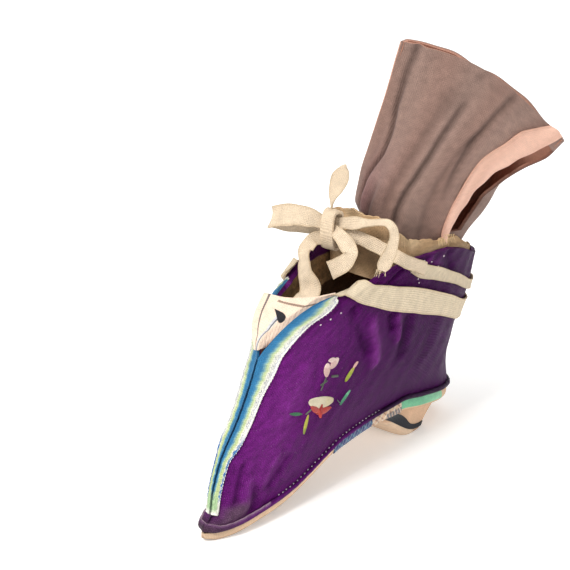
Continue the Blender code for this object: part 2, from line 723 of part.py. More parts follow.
TIE_TAIL = (
    (-2.6, 76.1, 86.1, 0.55, (0.5, -0.8, 0.4)),
    (2.6, 77.0, 86.9, 0.72, (0.4, -0.8, 0.6)),
    (6.8, 77.6, 87.6, 0.60, (0.3, -0.5, 0.9)),
    (11.2, 78.0, 88.9, 0.45, (0.2, -0.4, 1.0)),
    (15.0, 78.2, 89.8, 0.45, (0.5, -0.6, 0.8)),
    (17.6, 78.0, 88.4, 0.50, (0.9, -0.5, 0.2)),
    (18.8, 77.0, 85.4, 0.55, (0.9, -0.6, 0.0)),
    (18.8, 75.8, 82.4, 0.62, (0.8, -0.7, 0.0)),
    (18.0, 74.8, 79.6, 0.80, (0.75, -0.65, 0.0)),
    (17.3, 73.8, 77.0, 0.75, (0.75, -0.65, 0.0)),
    (16.8, 73.2, 75.0, 0.45, (0.75, -0.65, 0.0)),
)
TIE_LEAD = (
    (-2.7, 76.7, 81.6, 0.50, (0.6, -0.7, 0.5)),
    (3.0, 78.6, 81.6, 0.70, (0.5, -0.8, 0.4)),
    (8.0, 79.6, 81.5, 0.72, (0.5, -0.8, 0.4)),
    (13.0, 81.2, 81.0, 0.72, (0.5, -0.8, 0.4)),
    (17.6, 83.6, 80.0, 0.70, (0.7, -0.6, 0.4)),
    (20.6, 86.6, 77.8, 0.68, (0.9, -0.4, 0.3)),
    (21.6, 90.0, 75.6, 0.62, (1.0, -0.3, 0.2)),
)
ROUTE_STEPS = 3


def tape_strip(name, route, material):
    """A flat tape along a smooth curve through its route."""
    rows = np.array([row[:4] for row in route])
    faces_to = np.array([row[4] for row in route])
    places = np.arange(len(route))
    at = np.linspace(0, len(route) - 1, (len(route) - 1) * ROUTE_STEPS + 1)
    centres = np.stack([smooth(places, rows[:, axis], at) for axis in range(3)], 1) * MM
    widths = smooth(places, rows[:, 3], at) * TAPE_WIDTH / 2
    facing = np.stack([np.interp(at, places, faces_to[:, axis]) for axis in range(3)], 1)
    tangents = np.gradient(centres, axis=0)
    across = np.cross(tangents, facing)
    across /= np.linalg.norm(across, axis=1)[:, None]
    face = np.cross(across, tangents)
    face /= np.linalg.norm(face, axis=1)[:, None]
    half = TAPE_THICKNESS / 2
    corners = ((1, half), (-1, half), (-1, -half), (1, -half))
    rings = []
    for centre, width, side, out in zip(centres, widths, across, face):
        rings.append([tuple(centre + side * width * turn + out * depth) for turn, depth in corners])
    return loft(name, rings, material)


def make_knot(material):
    """The tape wound once over the crossing."""
    mesh = bpy.data.meshes.new("tie_knot")
    build = bmesh.new()
    bmesh.ops.create_cube(build, size=1.0)
    for vertex in build.verts:
        vertex.co.x *= KNOT_WIDTH
        vertex.co.y *= KNOT_WIDTH
        vertex.co.z *= KNOT_HEIGHT
        vertex.co.x += KNOT_PLACE[0]
        vertex.co.y += KNOT_PLACE[1] - HEEL_CENTRE
        vertex.co.z += KNOT_PLACE[2]
    build.to_mesh(mesh)
    build.free()
    mesh.materials.append(material)
    knot = bpy.data.objects.new("tie_knot", mesh)
    collection.objects.link(knot)
    soften = knot.modifiers.new("Soften", "SUBSURF")
    soften.levels = soften.render_levels = 2
    return knot


clear_scene()
collection = bpy.data.collections.new("lotus_shoe")
bpy.context.scene.collection.children.link(collection)

cream = make_material("cream cotton", (0.66, 0.50, 0.36), 0.85)
purple = make_material("purple silk", (0.13, 0.012, 0.15), 0.38)
ribbon = make_material("blue and green ribbon", (0.05, 0.22, 0.40), 0.5)
beige = make_material("worn beige cotton", (0.50, 0.33, 0.20), 0.9)
mauve = make_material("grey mauve cotton", (0.25, 0.17, 0.16), 0.9)
tape = make_material("cotton tape", (0.70, 0.56, 0.42), 0.85)

make_outsole(cream)
make_heel(cream)
make_insole(cream)
make_upper(purple)
make_binding(purple)
make_ribbons("vamp_ribbon_left", 1, ribbon)
make_ribbons("vamp_ribbon_right", -1, ribbon)
make_insert(cream)
make_lining(beige)
make_shaft(mauve)
make_band("ankle_band_lower", tape)
make_band("ankle_band_upper", tape)
make_knot(tape)
tape_strip("pull_tape", PULL_TAPE, tape)
tape_strip("upright_end", UPRIGHT_END, tape)
tape_strip("bow_loop", BOW_LOOP, tape)
tape_strip("folded_end", FOLDED_END, tape)
tape_strip("tie_tail", TIE_TAIL, tape)
tape_strip("tie_lead", TIE_LEAD, tape)
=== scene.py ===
# %% [markdown]
# A lotus shoe: a silk ankle shoe with a needle toe, a high arch and a tall cotton shaft tied with tape.
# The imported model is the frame. Each cloth piece is built again here with its folds, weave and stitches,
# and stands where its plain solid stands.

# %% Frame and units
import math

import bmesh
import bpy
import numpy as np
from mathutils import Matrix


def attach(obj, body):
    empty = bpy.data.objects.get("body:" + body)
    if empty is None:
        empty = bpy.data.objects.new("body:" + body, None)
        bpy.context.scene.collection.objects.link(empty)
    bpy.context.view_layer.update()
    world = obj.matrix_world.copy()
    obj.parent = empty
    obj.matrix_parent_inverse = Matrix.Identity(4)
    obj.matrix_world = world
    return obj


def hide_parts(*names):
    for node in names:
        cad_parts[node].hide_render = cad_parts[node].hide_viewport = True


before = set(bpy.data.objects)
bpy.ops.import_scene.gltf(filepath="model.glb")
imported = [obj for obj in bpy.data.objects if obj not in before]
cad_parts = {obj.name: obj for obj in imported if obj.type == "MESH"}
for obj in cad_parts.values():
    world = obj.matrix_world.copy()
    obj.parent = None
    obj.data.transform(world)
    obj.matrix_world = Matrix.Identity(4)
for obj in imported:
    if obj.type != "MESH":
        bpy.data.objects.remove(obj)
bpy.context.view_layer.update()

MM = 0.001
# Places along the shoe are counted back from the toe's tip, and the frame's origin is under the heel's middle
HEEL_CENTRE = 105 * MM

# %% [markdown]
# The camera looks at the shoe's left side and toe from a little above. A long lens keeps the sole's lines
# almost parallel, as a studio lens does.

# %% Camera
camera = bpy.data.objects.new("camera", bpy.data.cameras.new("camera"))
camera.location = (0.4317, -0.6143, 0.3879)
camera.rotation_euler = (math.radians(66), 0, math.radians(38))
camera.data.lens = 150
camera.data.sensor_width = 36
bpy.context.scene.collection.objects.link(camera)
bpy.context.scene.camera = camera
bpy.context.scene.view_settings.view_transform = "Standard"
print("camera at", tuple(camera.location))

# %% [markdown]
# Every colour is written as an sRGB hex value, as a paint program shows it. Blender's nodes want linear light,
# so one function turns it. Another adds a shader node with its settings, its fixed values and its links.

# %% Colour and node helpers
def srgb(code):
    """An sRGB hex value as linear colour."""
    values = [int(code[i:i + 2], 16) / 255 for i in (1, 3, 5)]
    return tuple(v / 12.92 if v <= 0.04045 else ((v + 0.055) / 1.055) ** 2.4 for v in values)


def add_node(tree, kind, values, links, **settings):
    """One node with its settings, and its sockets' values and links by socket."""
    made = tree.nodes.new(kind)
    for key, value in settings.items():
        setattr(made, key, value)
    for socket, value in values.items():
        made.inputs[socket].default_value = value
    for socket, source in links.items():
        tree.links.new(source, made.inputs[socket])
    return made


def new_material(name, **sockets):
    """A Principled material with these socket values, and its shader."""
    material = bpy.data.materials.new(name)
    material.use_nodes = True
    shader = material.node_tree.nodes["Principled BSDF"]
    for socket, value in sockets.items():
        shader.inputs[socket.replace("_", " ")].default_value = value
    return material, shader


# %% [markdown]
# Three large lamps and a white world give the soft, nearly shadowless light of a catalogue photograph. The floor
# is a sheet of white paper that glows a little, as on a light table, so the ground stays white under the shoe.

# %% Light and floor
def add_lamp(name, place, aim, size, power, tint):
    lamp = bpy.data.lights.new(name, "AREA")
    lamp.size, lamp.energy, lamp.color = size, power, tint
    holder = bpy.data.objects.new(name, lamp)
    holder.location = place
    look = np.array(aim) - np.array(place)
    tilt = math.atan2(math.hypot(look[0], look[1]), -look[2])
    holder.rotation_euler = (tilt, 0, math.atan2(look[1], look[0]) - math.pi / 2)
    bpy.context.scene.collection.objects.link(holder)


add_lamp("key", (-0.05, -0.75, 0.75), (0, -0.02, 0.05), 0.30, 8.4, (1.0, 0.98, 0.95))
add_lamp("fill", (0.75, -0.15, 0.35), (0, 0, 0.05), 0.7, 1.8, (1.0, 0.98, 0.96))
add_lamp("top", (-0.1, 0.2, 0.9), (0, 0, 0.05), 0.8, 4.2, (1, 1, 1))
world = bpy.data.worlds.new("studio")
world.use_nodes = True
world.node_tree.nodes["Background"].inputs["Color"].default_value = (1, 1, 1, 1)
world.node_tree.nodes["Background"].inputs["Strength"].default_value = 0.42
bpy.context.scene.world = world

FLOOR = 6
# White backdrop paper: matt, so it shows no reflection of the shoe
paper, _ = new_material("white backdrop paper", Base_Color=(*srgb("#fbfbfa"), 1), Roughness=0.9,
                        Specular_IOR_Level=0.1, Emission_Color=(1, 1, 1, 1), Emission_Strength=0.22)
floor_mesh = bpy.data.meshes.new("floor")
floor_corners = [(x * FLOOR, y * FLOOR, 0) for x, y in ((-1, -1), (1, -1), (1, 1), (-1, 1))]
floor_mesh.from_pydata(floor_corners, [], [(0, 1, 2, 3)])
floor_mesh.materials.append(paper)
floor = bpy.data.objects.new("floor", floor_mesh)
bpy.context.scene.collection.objects.link(floor)
print("lamps and floor", len(bpy.data.lights), 2 * FLOOR, "m")

# %% [markdown]
# Every material here is woven cloth. A cloth needs two things from its mesh: where a point lies along the
# warp and the weft, in millimetres, and how it was dyed, stained or worn there. Both are stored as
# attributes on the mesh, so that one material reads the same threads on any piece.

# %% Woven cloth
def woven(name, thread, rough, bump, slub, sheen=0.0, coat=0.0, gloss=0.2, flecks=0.0, tint="#ffffff"):
    """Thread is the drawn spacing in millimetres, and slub how much the tone of the yarn varies."""
    material, shader = new_material(
        name, Roughness=rough, IOR=1.5, Sheen_Weight=sheen, Coat_Weight=coat, Coat_Roughness=0.35,
        Specular_IOR_Level=gloss, Specular_Tint=(*srgb(tint), 1))
    tree = material.node_tree
    cloth = add_node(tree, "ShaderNodeAttribute", {}, {}, attribute_name="cloth").outputs["Vector"]
    shade = add_node(tree, "ShaderNodeAttribute", {}, {}, attribute_name="dye").outputs["Color"]
    # A band repeats every 20 / (2 pi x scale) units, which makes 0.314 / spacing the scale of one thread
    ply = {"Scale": 0.314 / thread, "Distortion": 1.2, "Detail": 2.0, "Detail Scale": 1.0}
    warp, weft = (add_node(tree, "ShaderNodeTexWave", ply, {"Vector": cloth}, bands_direction=way).outputs["Fac"]
                  for way in "XY")
    weave = add_node(tree, "ShaderNodeMath", {}, {0: warp, 1: weft}, operation="ADD").outputs[0]
    wobble, grain = (add_node(tree, "ShaderNodeTexNoise", values, {"Vector": cloth}).outputs["Fac"]
                     for values in ({"Scale": 0.35, "Detail": 3.0}, {"Scale": 1.6 / thread, "Detail": 4.0}))
    for source, low, high, depth in ((weave, 0, 2, slub), (wobble, 0.3, 0.7, slub), (grain, 0.3, 0.7, 1.6 * slub)):
        reach = {"From Min": low, "From Max": high, "To Min": 1 - depth, "To Max": 1 + depth}
        tone = add_node(tree, "ShaderNodeMapRange", reach, {"Value": source}).outputs[0]
        shade = add_node(tree, "ShaderNodeVectorMath", {}, {0: shade, 1: tone}, operation="MULTIPLY").outputs[0]
    if flecks:
        scuffs = {"Scale": 1.5, "Detail": 5.0, "Roughness": 0.8}
        scuff = add_node(tree, "ShaderNodeTexNoise", scuffs, {"Vector": cloth}).outputs["Fac"]
        reach = {"From Min": 0.635, "From Max": 0.70, "To Max": flecks}
        mask = add_node(tree, "ShaderNodeMapRange", reach, {"Value": scuff}).outputs[0]
        # Sockets 6 and 7 of a colour mix are its two colours, and output 2 is its colour result
        pale = {7: (*srgb("#e8d8e4"), 1)}
        shade = add_node(tree, "ShaderNodeMix", pale, {0: mask, 6: shade}, data_type="RGBA").outputs[2]
    tree.links.new(shade, shader.inputs["Base Color"])
    relief = add_node(tree, "ShaderNodeMath", {}, {0: weave, 1: grain}, operation="ADD").outputs[0]
    lift = add_node(tree, "ShaderNodeBump", {"Strength": bump, "Distance": 0.0002}, {"Height": relief})
    tree.links.new(lift.outputs["Normal"], shader.inputs["Normal"])
    return material


# %% [markdown]
# Each material is named for the cloth that it stands for. Old cotton scatters light evenly, so it is rough with
# no coat. Silk has long smooth threads, so it is less rough and its highlight is broad and soft.

# %% Materials
# Silk satin: light passes through the dyed thread, which tints its highlights; threads 0.1 mm, drawn 0.6 mm,
# with small pale scuffs where floats are broken
silk = woven("purple silk satin", 0.6, 0.44, 0.8, 0.26, flecks=0.5, tint="#c070cc", gloss=0.12)
# Cotton sheeting: matt, with a visible plain weave; threads 0.35 mm, drawn 0.7 mm
cream_cotton = woven("cream cotton sheeting", 0.7, 0.85, 0.4, 0.07)
# The shaft's outside: uneven yarn dyed grey, which reads as a mottled, slightly furry surface
mauve_cotton = woven("grey mauve cotton sheeting", 0.6, 0.9, 0.5, 0.11, sheen=0.1)
# The shaft's lining: closer and more even than the outside, so almost plain
pink_cotton = woven("pink cotton lining", 0.7, 0.85, 0.35, 0.06)
# The collar's lining: worn and stained, so its threads stand out most
lining_cotton = woven("worn beige cotton", 0.6, 0.9, 0.7, 0.14)
# Tape: twill with thick yarn, whose ribs catch the light along the tape
tape_cotton = woven("cotton twill tape", 0.55, 0.85, 0.6, 0.09)
# Ribbon: mixed silk and cotton, a little glossier than the tape
ribbon_silk = woven("woven ribbon", 0.55, 0.5, 0.6, 0.13, sheen=0.15)
# Floss: untwisted silk in smooth rows, the glossiest thread on the shoe
floss = woven("silk embroidery floss", 0.4, 0.4, 0.8, 0.12, sheen=0.2, coat=0.2)
# Applied black cloth on the heel: matt and nearly without tone
dark_cloth = woven("black cotton applique", 0.6, 0.8, 0.4, 0.2, sheen=0.1)
print("materials", len(bpy.data.materials))

# %% [markdown]
# A piece of cloth is a grid of points with a thickness. Sewing rows of quads in code keeps the weave aligned
# with the cloth, which a remesh would lose. A part is its points, faces, thread places and dye.

# %% Cloth helpers
def dyed(shape, base, *layers):
    """A grid of one colour, with each (colour, mask) laid over it where its mask is 1."""
    dye = np.tile(np.array(srgb(base)), (*shape, 1))
    for code, mask in layers:
        mask = np.clip(np.asarray(mask, float), 0, 1)[..., None]
        dye = dye * (1 - mask) + np.array(srgb(code)) * mask
    return dye


def threads_of(across, along):
    """Where the points of a grid lie across and along the cloth, in millimetres."""
    return np.stack(np.broadcast_arrays(across, along, np.zeros((1, 1))), -1)


def grid_quads(rows, columns, round_rows=False, round_columns=False):
    """Quads of a grid of points, which may close on itself either way."""
    index = np.arange(rows * columns).reshape(rows, columns)
    beside, below = np.roll(index, -1, 1), np.roll(index, -1, 0)
    quads = np.stack((index, beside, np.roll(beside, -1, 0), below), -1)
    return quads[:rows - (not round_rows), :columns - (not round_columns)]


def shell(outer, inner, cloth, dye, inner_dye=None, closed=False, keep=None):
    """A part between two grids, with a wall round its open edges, and which skin each quad is on."""
    quads = grid_quads(*outer.shape[:2], round_columns=closed)
    quads = (quads if keep is None else quads[keep]).reshape(-1, 4)
    behind = outer.shape[0] * outer.shape[1]
    edges = np.concatenate([quads[:, [k, (k + 1) % 4]] for k in range(4)])
    _, first, count = np.unique(np.sort(edges, 1), axis=0, return_index=True, return_counts=True)
    rim = edges[first[count == 1]]
    sides = np.stack((rim[:, 1], rim[:, 0], rim[:, 0] + behind, rim[:, 1] + behind), 1)
    faces = np.concatenate((quads, quads[:, ::-1] + behind, sides)).tolist()
    skins = np.repeat((0, 1, 1), (len(quads), len(quads), len(sides)))
    inner_dye = dye if inner_dye is None else inner_dye
    points, cloth, dye = (np.concatenate((a.reshape(-1, 3), b.reshape(-1, 3)))
                          for a, b in ((outer, inner), (cloth, cloth), (dye, inner_dye)))
    return points, faces, cloth, dye, skins


def join_parts(parts):
    """Several parts as one."""
    starts = np.cumsum([0] + [len(part[0]) for part in parts]).tolist()
    faces = [tuple(start + corner for corner in face) for start, part in zip(starts, parts) for face in part[1]]
    points, cloth, dye = (np.concatenate([part[k] for part in parts]) for k in (0, 2, 3))
    return points, faces, cloth, dye


def add_cloth(name, part, material, slot, *stands_for, inside=None, sharp=60):
    """A part as a piece that rides on the shoe, with its attributes, its finish and the nodes it stands for."""
    points, faces, cloth, dye, *skins = part
    mesh = bpy.data.meshes.new(name)
    mesh.from_pydata((np.reshape(points, (-1, 3)) - (0, HEEL_CENTRE, 0)).tolist(), [], faces)
    mesh.materials.append(material)
    if inside:
        mesh.materials.append(inside)
        mesh.polygons.foreach_set("material_index", skins[0].astype(np.int32))
    threads = mesh.attributes.new("cloth", "FLOAT_VECTOR", "POINT")
    threads.data.foreach_set("vector", np.asarray(cloth, np.float32).ravel())
    rgba = np.insert(np.reshape(dye, (-1, 3)), 3, 1.0, axis=1)
    mesh.attributes.new("dye", "FLOAT_COLOR", "POINT").data.foreach_set("color", rgba.astype(np.float32).ravel())
    build = bmesh.new()
    build.from_mesh(mesh)
    bmesh.ops.remove_doubles(build, verts=build.verts, dist=2e-6)
    bmesh.ops.recalc_face_normals(build, faces=build.faces)
    build.to_mesh(mesh)
    build.free()
    mesh.shade_smooth()
    mesh.set_sharp_from_angle(angle=math.radians(sharp))
    piece = bpy.data.objects.new(name, mesh)
    bpy.context.scene.collection.objects.link(piece)
    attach(piece, "root")
    if stands_for:
        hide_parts(*stands_for)
    print(name, len(mesh.polygons), "faces")
    return piece


# %% [markdown]
# Shapes come from short tables. A curve through a table's rows must not swing past them, or a flat sole would
# ripple, so its slope is zero wherever the rows turn back.

# %% Curves through tables
def smooth(xs, ys, at):
    """A curve through the rows that never overshoots them. The rows may be arrays for one place."""
    xs, ys = np.asarray(xs, float), np.asarray(ys, float)
    steps = np.diff(xs)[:, None] if ys.ndim > 1 else np.diff(xs)
    slopes = np.diff(ys, axis=0) / steps
    before, after = slopes[:-1], slopes[1:]
    turning = before * after <= 0
    total = np.where(turning, 1.0, before + after)
    tangents = np.concatenate((slopes[:1], np.where(turning, 0.0, 2 * before * after / total), slopes[-1:]))
    at = np.clip(np.asarray(at, float), xs[0], xs[-1])
    row = np.clip(np.searchsorted(xs, at, side="right") - 1, 0, len(xs) - 2)
    run = np.diff(xs)[row]
    part = (at - xs[row]) / run
    rest = 1 - part
    ends = ys[row] * (1 + 2 * part) * rest**2 + ys[row + 1] * (1 + 2 * rest) * part**2
    return ends + run * (tangents[row] * part * rest**2 - tangents[row + 1] * part**2 * rest)


def read(table, column, at):
    """One column of a table at places along its first column."""
    table = np.asarray(table)
    return smooth(table[:, 0], table[:, column], at)


def along_rows(table, at):
    """All columns of a table at places counted in rows."""
    table = np.asarray(table)
    places = np.arange(len(table))
    return np.stack([smooth(places, column, at) for column in table.T], 1)


def travelled(points, axis=0):
    """How far each point of a grid lies along its line of points."""
    steps = np.linalg.norm(np.diff(points, axis=axis), axis=-1)
    return np.concatenate((np.zeros_like(steps.take([0], axis)), np.cumsum(steps, axis)), axis)


# %% [markdown]
# The tapes are one long cotton tape and a second one, tied in a half bow. The cords come first, because they
# must lie where their solids are. Each route is a row for each place: across, back from the toe and up in
# millimetres, the width as a share of the tape's, and the way that its face looks.

# %% Routes of the tie
TAPE_WIDTH, NARROW_TAPE, TAPE_THICKNESS = 6.4 * MM, 5 * MM, 0.6 * MM
KNOT = (-5.0, 75.0, 83.5)
PULL_TAPE = (
    (-1.0, 37.8, 64.6, 0.55, 0.0, -0.3, 1.0), (-0.6, 42.0, 65.2, 0.85, 0.0, -0.3, 1.0),
    (0.0, 48.0, 65.8, 1.05, 0.1, -0.4, 1.0), (0.3, 54.0, 66.8, 1.15, 0.2, -0.6, 1.0),
    (-0.8, 58.0, 68.8, 1.20, 0.2, -1.0, 0.5), (-4.0, 59.7, 72.3, 1.05, 0.0, -1.0, 0.1),
    (-7.5, 63.2, 75.4, 0.85, 0.1, -1.0, 0.0), (-9.6, 67.0, 78.0, 0.75, 0.2, -1.0, 0.1),
    (-9.4, 70.6, 80.2, 0.72, 0.4, -0.9, 0.2), (-7.6, 73.2, 80.6, 0.70, 0.4, -0.9, 0.2),
)
UPRIGHT_END = (
    (-5.6, 75.0, 87.0, 0.20, -0.8, -0.5, 0.0), (-5.6, 75.4, 89.7, 0.22, -0.8, -0.5, 0.0),
    (-5.6, 76.0, 94.0, 0.42, -0.2, -0.9, 0.0), (-4.4, 76.4, 98.0, 0.80, 0.2, -0.9, 0.0),
    (-3.0, 76.8, 102.0, 0.92, 0.4, -0.9, 0.1), (-1.9, 77.2, 105.0, 0.55, 0.4, -0.9, 0.1),
    (-1.4, 77.4, 106.6, 0.10, -0.5, -0.8, 0.1),
)
BOW_LOOP = (
    (-5.6, 74.4, 85.2, 0.66, 0.2, -1.0, 0.3), (-7.7, 73.8, 85.7, 0.70, 0.2, -1.0, 0.3),
    (-11.5, 71.6, 87.2, 1.00, 0.2, -1.0, 0.3), (-16.0, 69.4, 87.8, 1.12, 0.2, -1.0, 0.3),
    (-20.5, 67.8, 87.0, 1.15, 0.0, -1.0, 0.3), (-23.8, 67.4, 85.6, 1.14, -0.5, -0.8, 0.3),
    (-25.2, 69.2, 84.2, 1.10, -1.0, 0.0, 0.2), (-24.2, 71.4, 83.0, 1.08, -0.5, 0.9, 0.0),
    (-20.5, 73.4, 82.4, 1.05, -0.2, 1.0, 0.0), (-16.0, 75.0, 82.4, 1.00, -0.2, 1.0, 0.0),
    (-11.5, 76.4, 82.8, 0.84, -0.2, 1.0, 0.0), (-7.6, 76.6, 83.4, 0.66, -0.2, 1.0, 0.0),
    (-5.6, 76.2, 83.6, 0.62, -0.2, 1.0, 0.0),
)
FOLDED_END = (
    (-4.6, 74.4, 84.6, 0.50, 0.5, -0.8, 0.4), (-2.6, 73.3, 84.4, 0.55, 0.5, -0.8, 0.4),
    (1.5, 71.4, 83.6, 0.75, 0.5, -0.8, 0.4), (5.0, 70.2, 81.8, 0.85, 0.4, -0.8, 0.5),
    (7.2, 69.4, 79.8, 0.70, 0.6, -0.7, 0.5), (6.4, 67.8, 77.4, 0.85, 0.3, -0.9, 0.4),
    (4.0, 66.4, 75.2, 0.98, 0.2, -1.0, 0.3), (1.6, 65.4, 73.6, 1.00, 0.2, -1.0, 0.3),
)
TIE_TAIL = (
    (-4.6, 75.6, 85.8, 0.50, 0.5, -0.8, 0.4), (-2.6, 76.1, 86.1, 0.55, 0.5, -0.8, 0.4),
    (2.6, 77.0, 86.9, 0.72, 0.4, -0.8, 0.6), (6.8, 77.6, 87.6, 0.60, 0.3, -0.5, 0.9),
    (11.2, 78.0, 88.9, 0.45, 0.2, -0.4, 1.0), (15.0, 78.2, 89.8, 0.45, 0.5, -0.6, 0.8),
    (17.6, 78.0, 88.4, 0.50, 0.9, -0.5, 0.2), (18.8, 77.0, 85.4, 0.55, 0.9, -0.6, 0.0),
    (18.8, 75.8, 82.4, 0.62, 0.8, -0.7, 0.0), (18.0, 74.8, 79.6, 0.80, 0.75, -0.65, 0.0),
    (17.3, 73.8, 77.0, 0.75, 0.75, -0.65, 0.0), (16.8, 73.2, 75.0, 0.45, 0.75, -0.65, 0.0),
)
TIE_LEAD = (
    (21.4, 92.0, 70.4, 0.72, 1.0, -0.2, 0.3), (20.9, 87.6, 73.0, 0.70, 0.95, -0.3, 0.3),
    (19.4, 83.6, 75.3, 0.70, 0.8, -0.5, 0.4), (14.4, 81.3, 77.8, 0.72, 0.5, -0.8, 0.4),
    (8.2, 79.6, 80.2, 0.72, 0.5, -0.8, 0.4), (3.0, 78.6, 81.4, 0.70, 0.5, -0.8, 0.4),
    (-2.7, 76.7, 81.6, 0.50, 0.6, -0.7, 0.5), (-4.6, 76.0, 82.0, 0.45, 0.6, -0.7, 0.5),
)
print("tie routes", len(PULL_TAPE), len(UPRIGHT_END), len(BOW_LOOP), len(FOLDED_END), len(TIE_TAIL), len(TIE_LEAD))

# %% [markdown]
# A tape is a strip that follows its route. Real tape never lies flat, so its edges curl, its middle waves and its
# width changes a little. The edges are also coloured darker.

# %% Tape strip
def tape_strip(route, curl):
    """A flat tape with curled edges as a part, and its centreline."""
    across = np.linspace(-1, 1, 11)
    route = np.array(route)
    places = np.arange(len(route))
    at = np.linspace(0, len(route) - 1, (len(route) - 1) * 10 + 1)
    rows = along_rows(route[:, :4], at)
    centres, widths = rows[:, :3] * MM, rows[:, 3:] * TAPE_WIDTH / 2
    facing = np.stack([np.interp(at, places, column) for column in route[:, 4:].T], 1)
    tangents = np.gradient(centres, axis=0)
    side = np.cross(tangents, facing)
    side /= np.linalg.norm(side, axis=1)[:, None]
    face = np.cross(side, tangents)
    face = (face / np.linalg.norm(face, axis=1)[:, None])[:, None]
    phase = travelled(centres)[:, None] / MM
    wave = 0.10 * np.sin(phase * 0.55 + 1.3 * across) + 0.07 * np.sin(phase * 1.3 + 2.6 * across + 1)
    lift = curl * widths * (across**2 - 0.35) + wave * MM
    edge = 1 + 0.03 * np.sin(phase * 0.9)
    middle = centres[:, None] + side[:, None] * (widths * edge * across)[..., None] + face * lift[..., None]
    half = (TAPE_THICKNESS / 2 * (1 - 0.35 * np.abs(across) ** 6))[:, None]
    cloth = threads_of(across * widths / MM, phase)
    dye = dyed(cloth.shape[:2], "#d6c3aa", ("#a08660", np.abs(across)[None] ** 8 * 0.5))
    return shell(middle + face * half, middle - face * half, cloth, dye), centres


# %% [markdown]
# Where cotton has torn or been cut, its warp threads hang loose. Each is a thin four-sided strand that leans a
# little its own way, drawn with a fixed seed so that the frays stay the same.

# %% Loose threads
def plain_part(points, faces, code):
    points = np.array(points)
    return points, faces, points / MM, dyed((len(points),), code)


def fray(place, along, side, count, length, spread, seed, code):
    """Strands that fan out from an edge, in millimetres."""
    chance = np.random.default_rng(seed)
    along, side = (np.array(way) / np.linalg.norm(way) for way in (along, side))
    lift = np.cross(along, side)
    points, faces = [], []
    for strand in range(count):
        at = np.array(place) + side * spread * (strand / (count - 1) - 0.5)
        way = along + side * chance.normal(0, 0.25) + lift * chance.normal(0, 0.15)
        reach = length * chance.uniform(0.5, 1.1)
        for step in np.linspace(0, 1, 5):
            middle = at + way * reach * step + side * chance.normal(0, 0.05) * step
            width = 0.11 * (1 - 0.6 * step)
            k = len(points)
            points += [middle + side * width, middle + lift * width, middle - side * width, middle - lift * width]
            if step:
                faces += [(k - 4 + n, k - 4 + (n + 1) % 4, k + (n + 1) % 4, k + n) for n in range(4)]
        faces += [(k, k + 1, k + 2, k + 3), (k - 13, k - 14, k - 15, k - 16)]
    return plain_part(np.array(points) * MM, faces, code)


# %% [markdown]
# Each tape is one strip, because its routes join inside the knot. Its length along the centreline is printed.

# %% The tie's tapes
def add_tape(name, routes, stands_for, *extra, curl=0.12, diameter=TAPE_WIDTH):
    strip, centres = tape_strip(sum(routes, ()), curl)
    piece = add_cloth(name, join_parts([strip, *extra]), tape_cotton, "cotton_tape", *stands_for)
    line = (centres - (0, HEEL_CENTRE, 0))[::3]
    length = float(travelled(line)[-1])
    print(name, "length mm", round(length / MM, 1))


add_tape("tie_bow", (PULL_TAPE, BOW_LOOP, UPRIGHT_END), ("pull_tape", "bow_loop", "upright_end"))
add_tape("tie_front", (TIE_LEAD, FOLDED_END), ("tie_lead", "folded_end"), curl=0.10, diameter=NARROW_TAPE)
tail_fray = fray((16.8, 73.2, 75.6), (-0.2, -0.3, -1), (0.65, 0.75, 0), 13, 3.2, 3.4, 3, "#d8c3a4")
add_tape("tie_tail_tape", (TIE_TAIL,), ("tie_tail",), tail_fray, curl=0.2, diameter=NARROW_TAPE)

# %% [markdown]
# The knot is the tape wound once over the crossing. A ring of tape with two creases reads as cloth, where a
# plain lump would not.

# %% Knot
def knot_part():
    turns = np.linspace(0, 2 * math.pi, 41)[:-1][None]
    across = np.linspace(-1, 1, 9)[:, None]
    deep, tall, wide = 2.7, 6.6, 2.55
    skins = []
    for grow in (0.55, -0.35):
        y = np.sign(np.cos(turns)) * np.abs(np.cos(turns)) ** 0.7 * (deep + grow)
        z = np.sign(np.sin(turns)) * np.abs(np.sin(turns)) ** 0.8 * (tall + grow)
        crease = 0.18 * np.sin(3.1 * across + 2 * turns) + 0.12 * np.sin(6 * across + turns)
        x = across * wide * (1 + 0.08 * np.sin(2 * turns)) + 0.25 * np.sin(turns)
        skins.append((np.array(KNOT) + np.stack((x, y * (1 + crease * 0.1), z * (1 + crease * 0.05)), -1)) * MM)
    cloth = threads_of(across * wide, turns * 4.5)
    return shell(*skins, cloth, dyed(cloth.shape[:2], "#d8c4aa"), closed=True)


add_cloth("tie_knot_wrap", knot_part(), tape_cotton, "cotton_tape", "tie_knot")

# %% [markdown]
# The upper is worked from level rings of the last, the form that a shoe is built on. The same few tables shape it
# as shape its solid, but on a fine grid. A share runs from the front of a level to the back.

# %% Sizes and tables of the last
SOLE_LENGTH, SOLE_HALF_WIDTH, ARCH_HEIGHT = 130 * MM, 12 * MM, 14.8 * MM
THROAT_REACH, INSTEP_HEIGHT, THROAT_HALF_WIDTH = 57 * MM, 69.5 * MM, 9.8 * MM
ANKLE_HALF_WIDTH, COLLAR_CROWN, BACK_HEIGHT, BACK_LEAN = 20 * MM, 7.5 * MM, 59.5 * MM, 11 * MM
UPPER_WALL, CLEARANCE, SEWN_MARGIN = 1.5 * MM, 0.3 * MM, 0.2 * MM
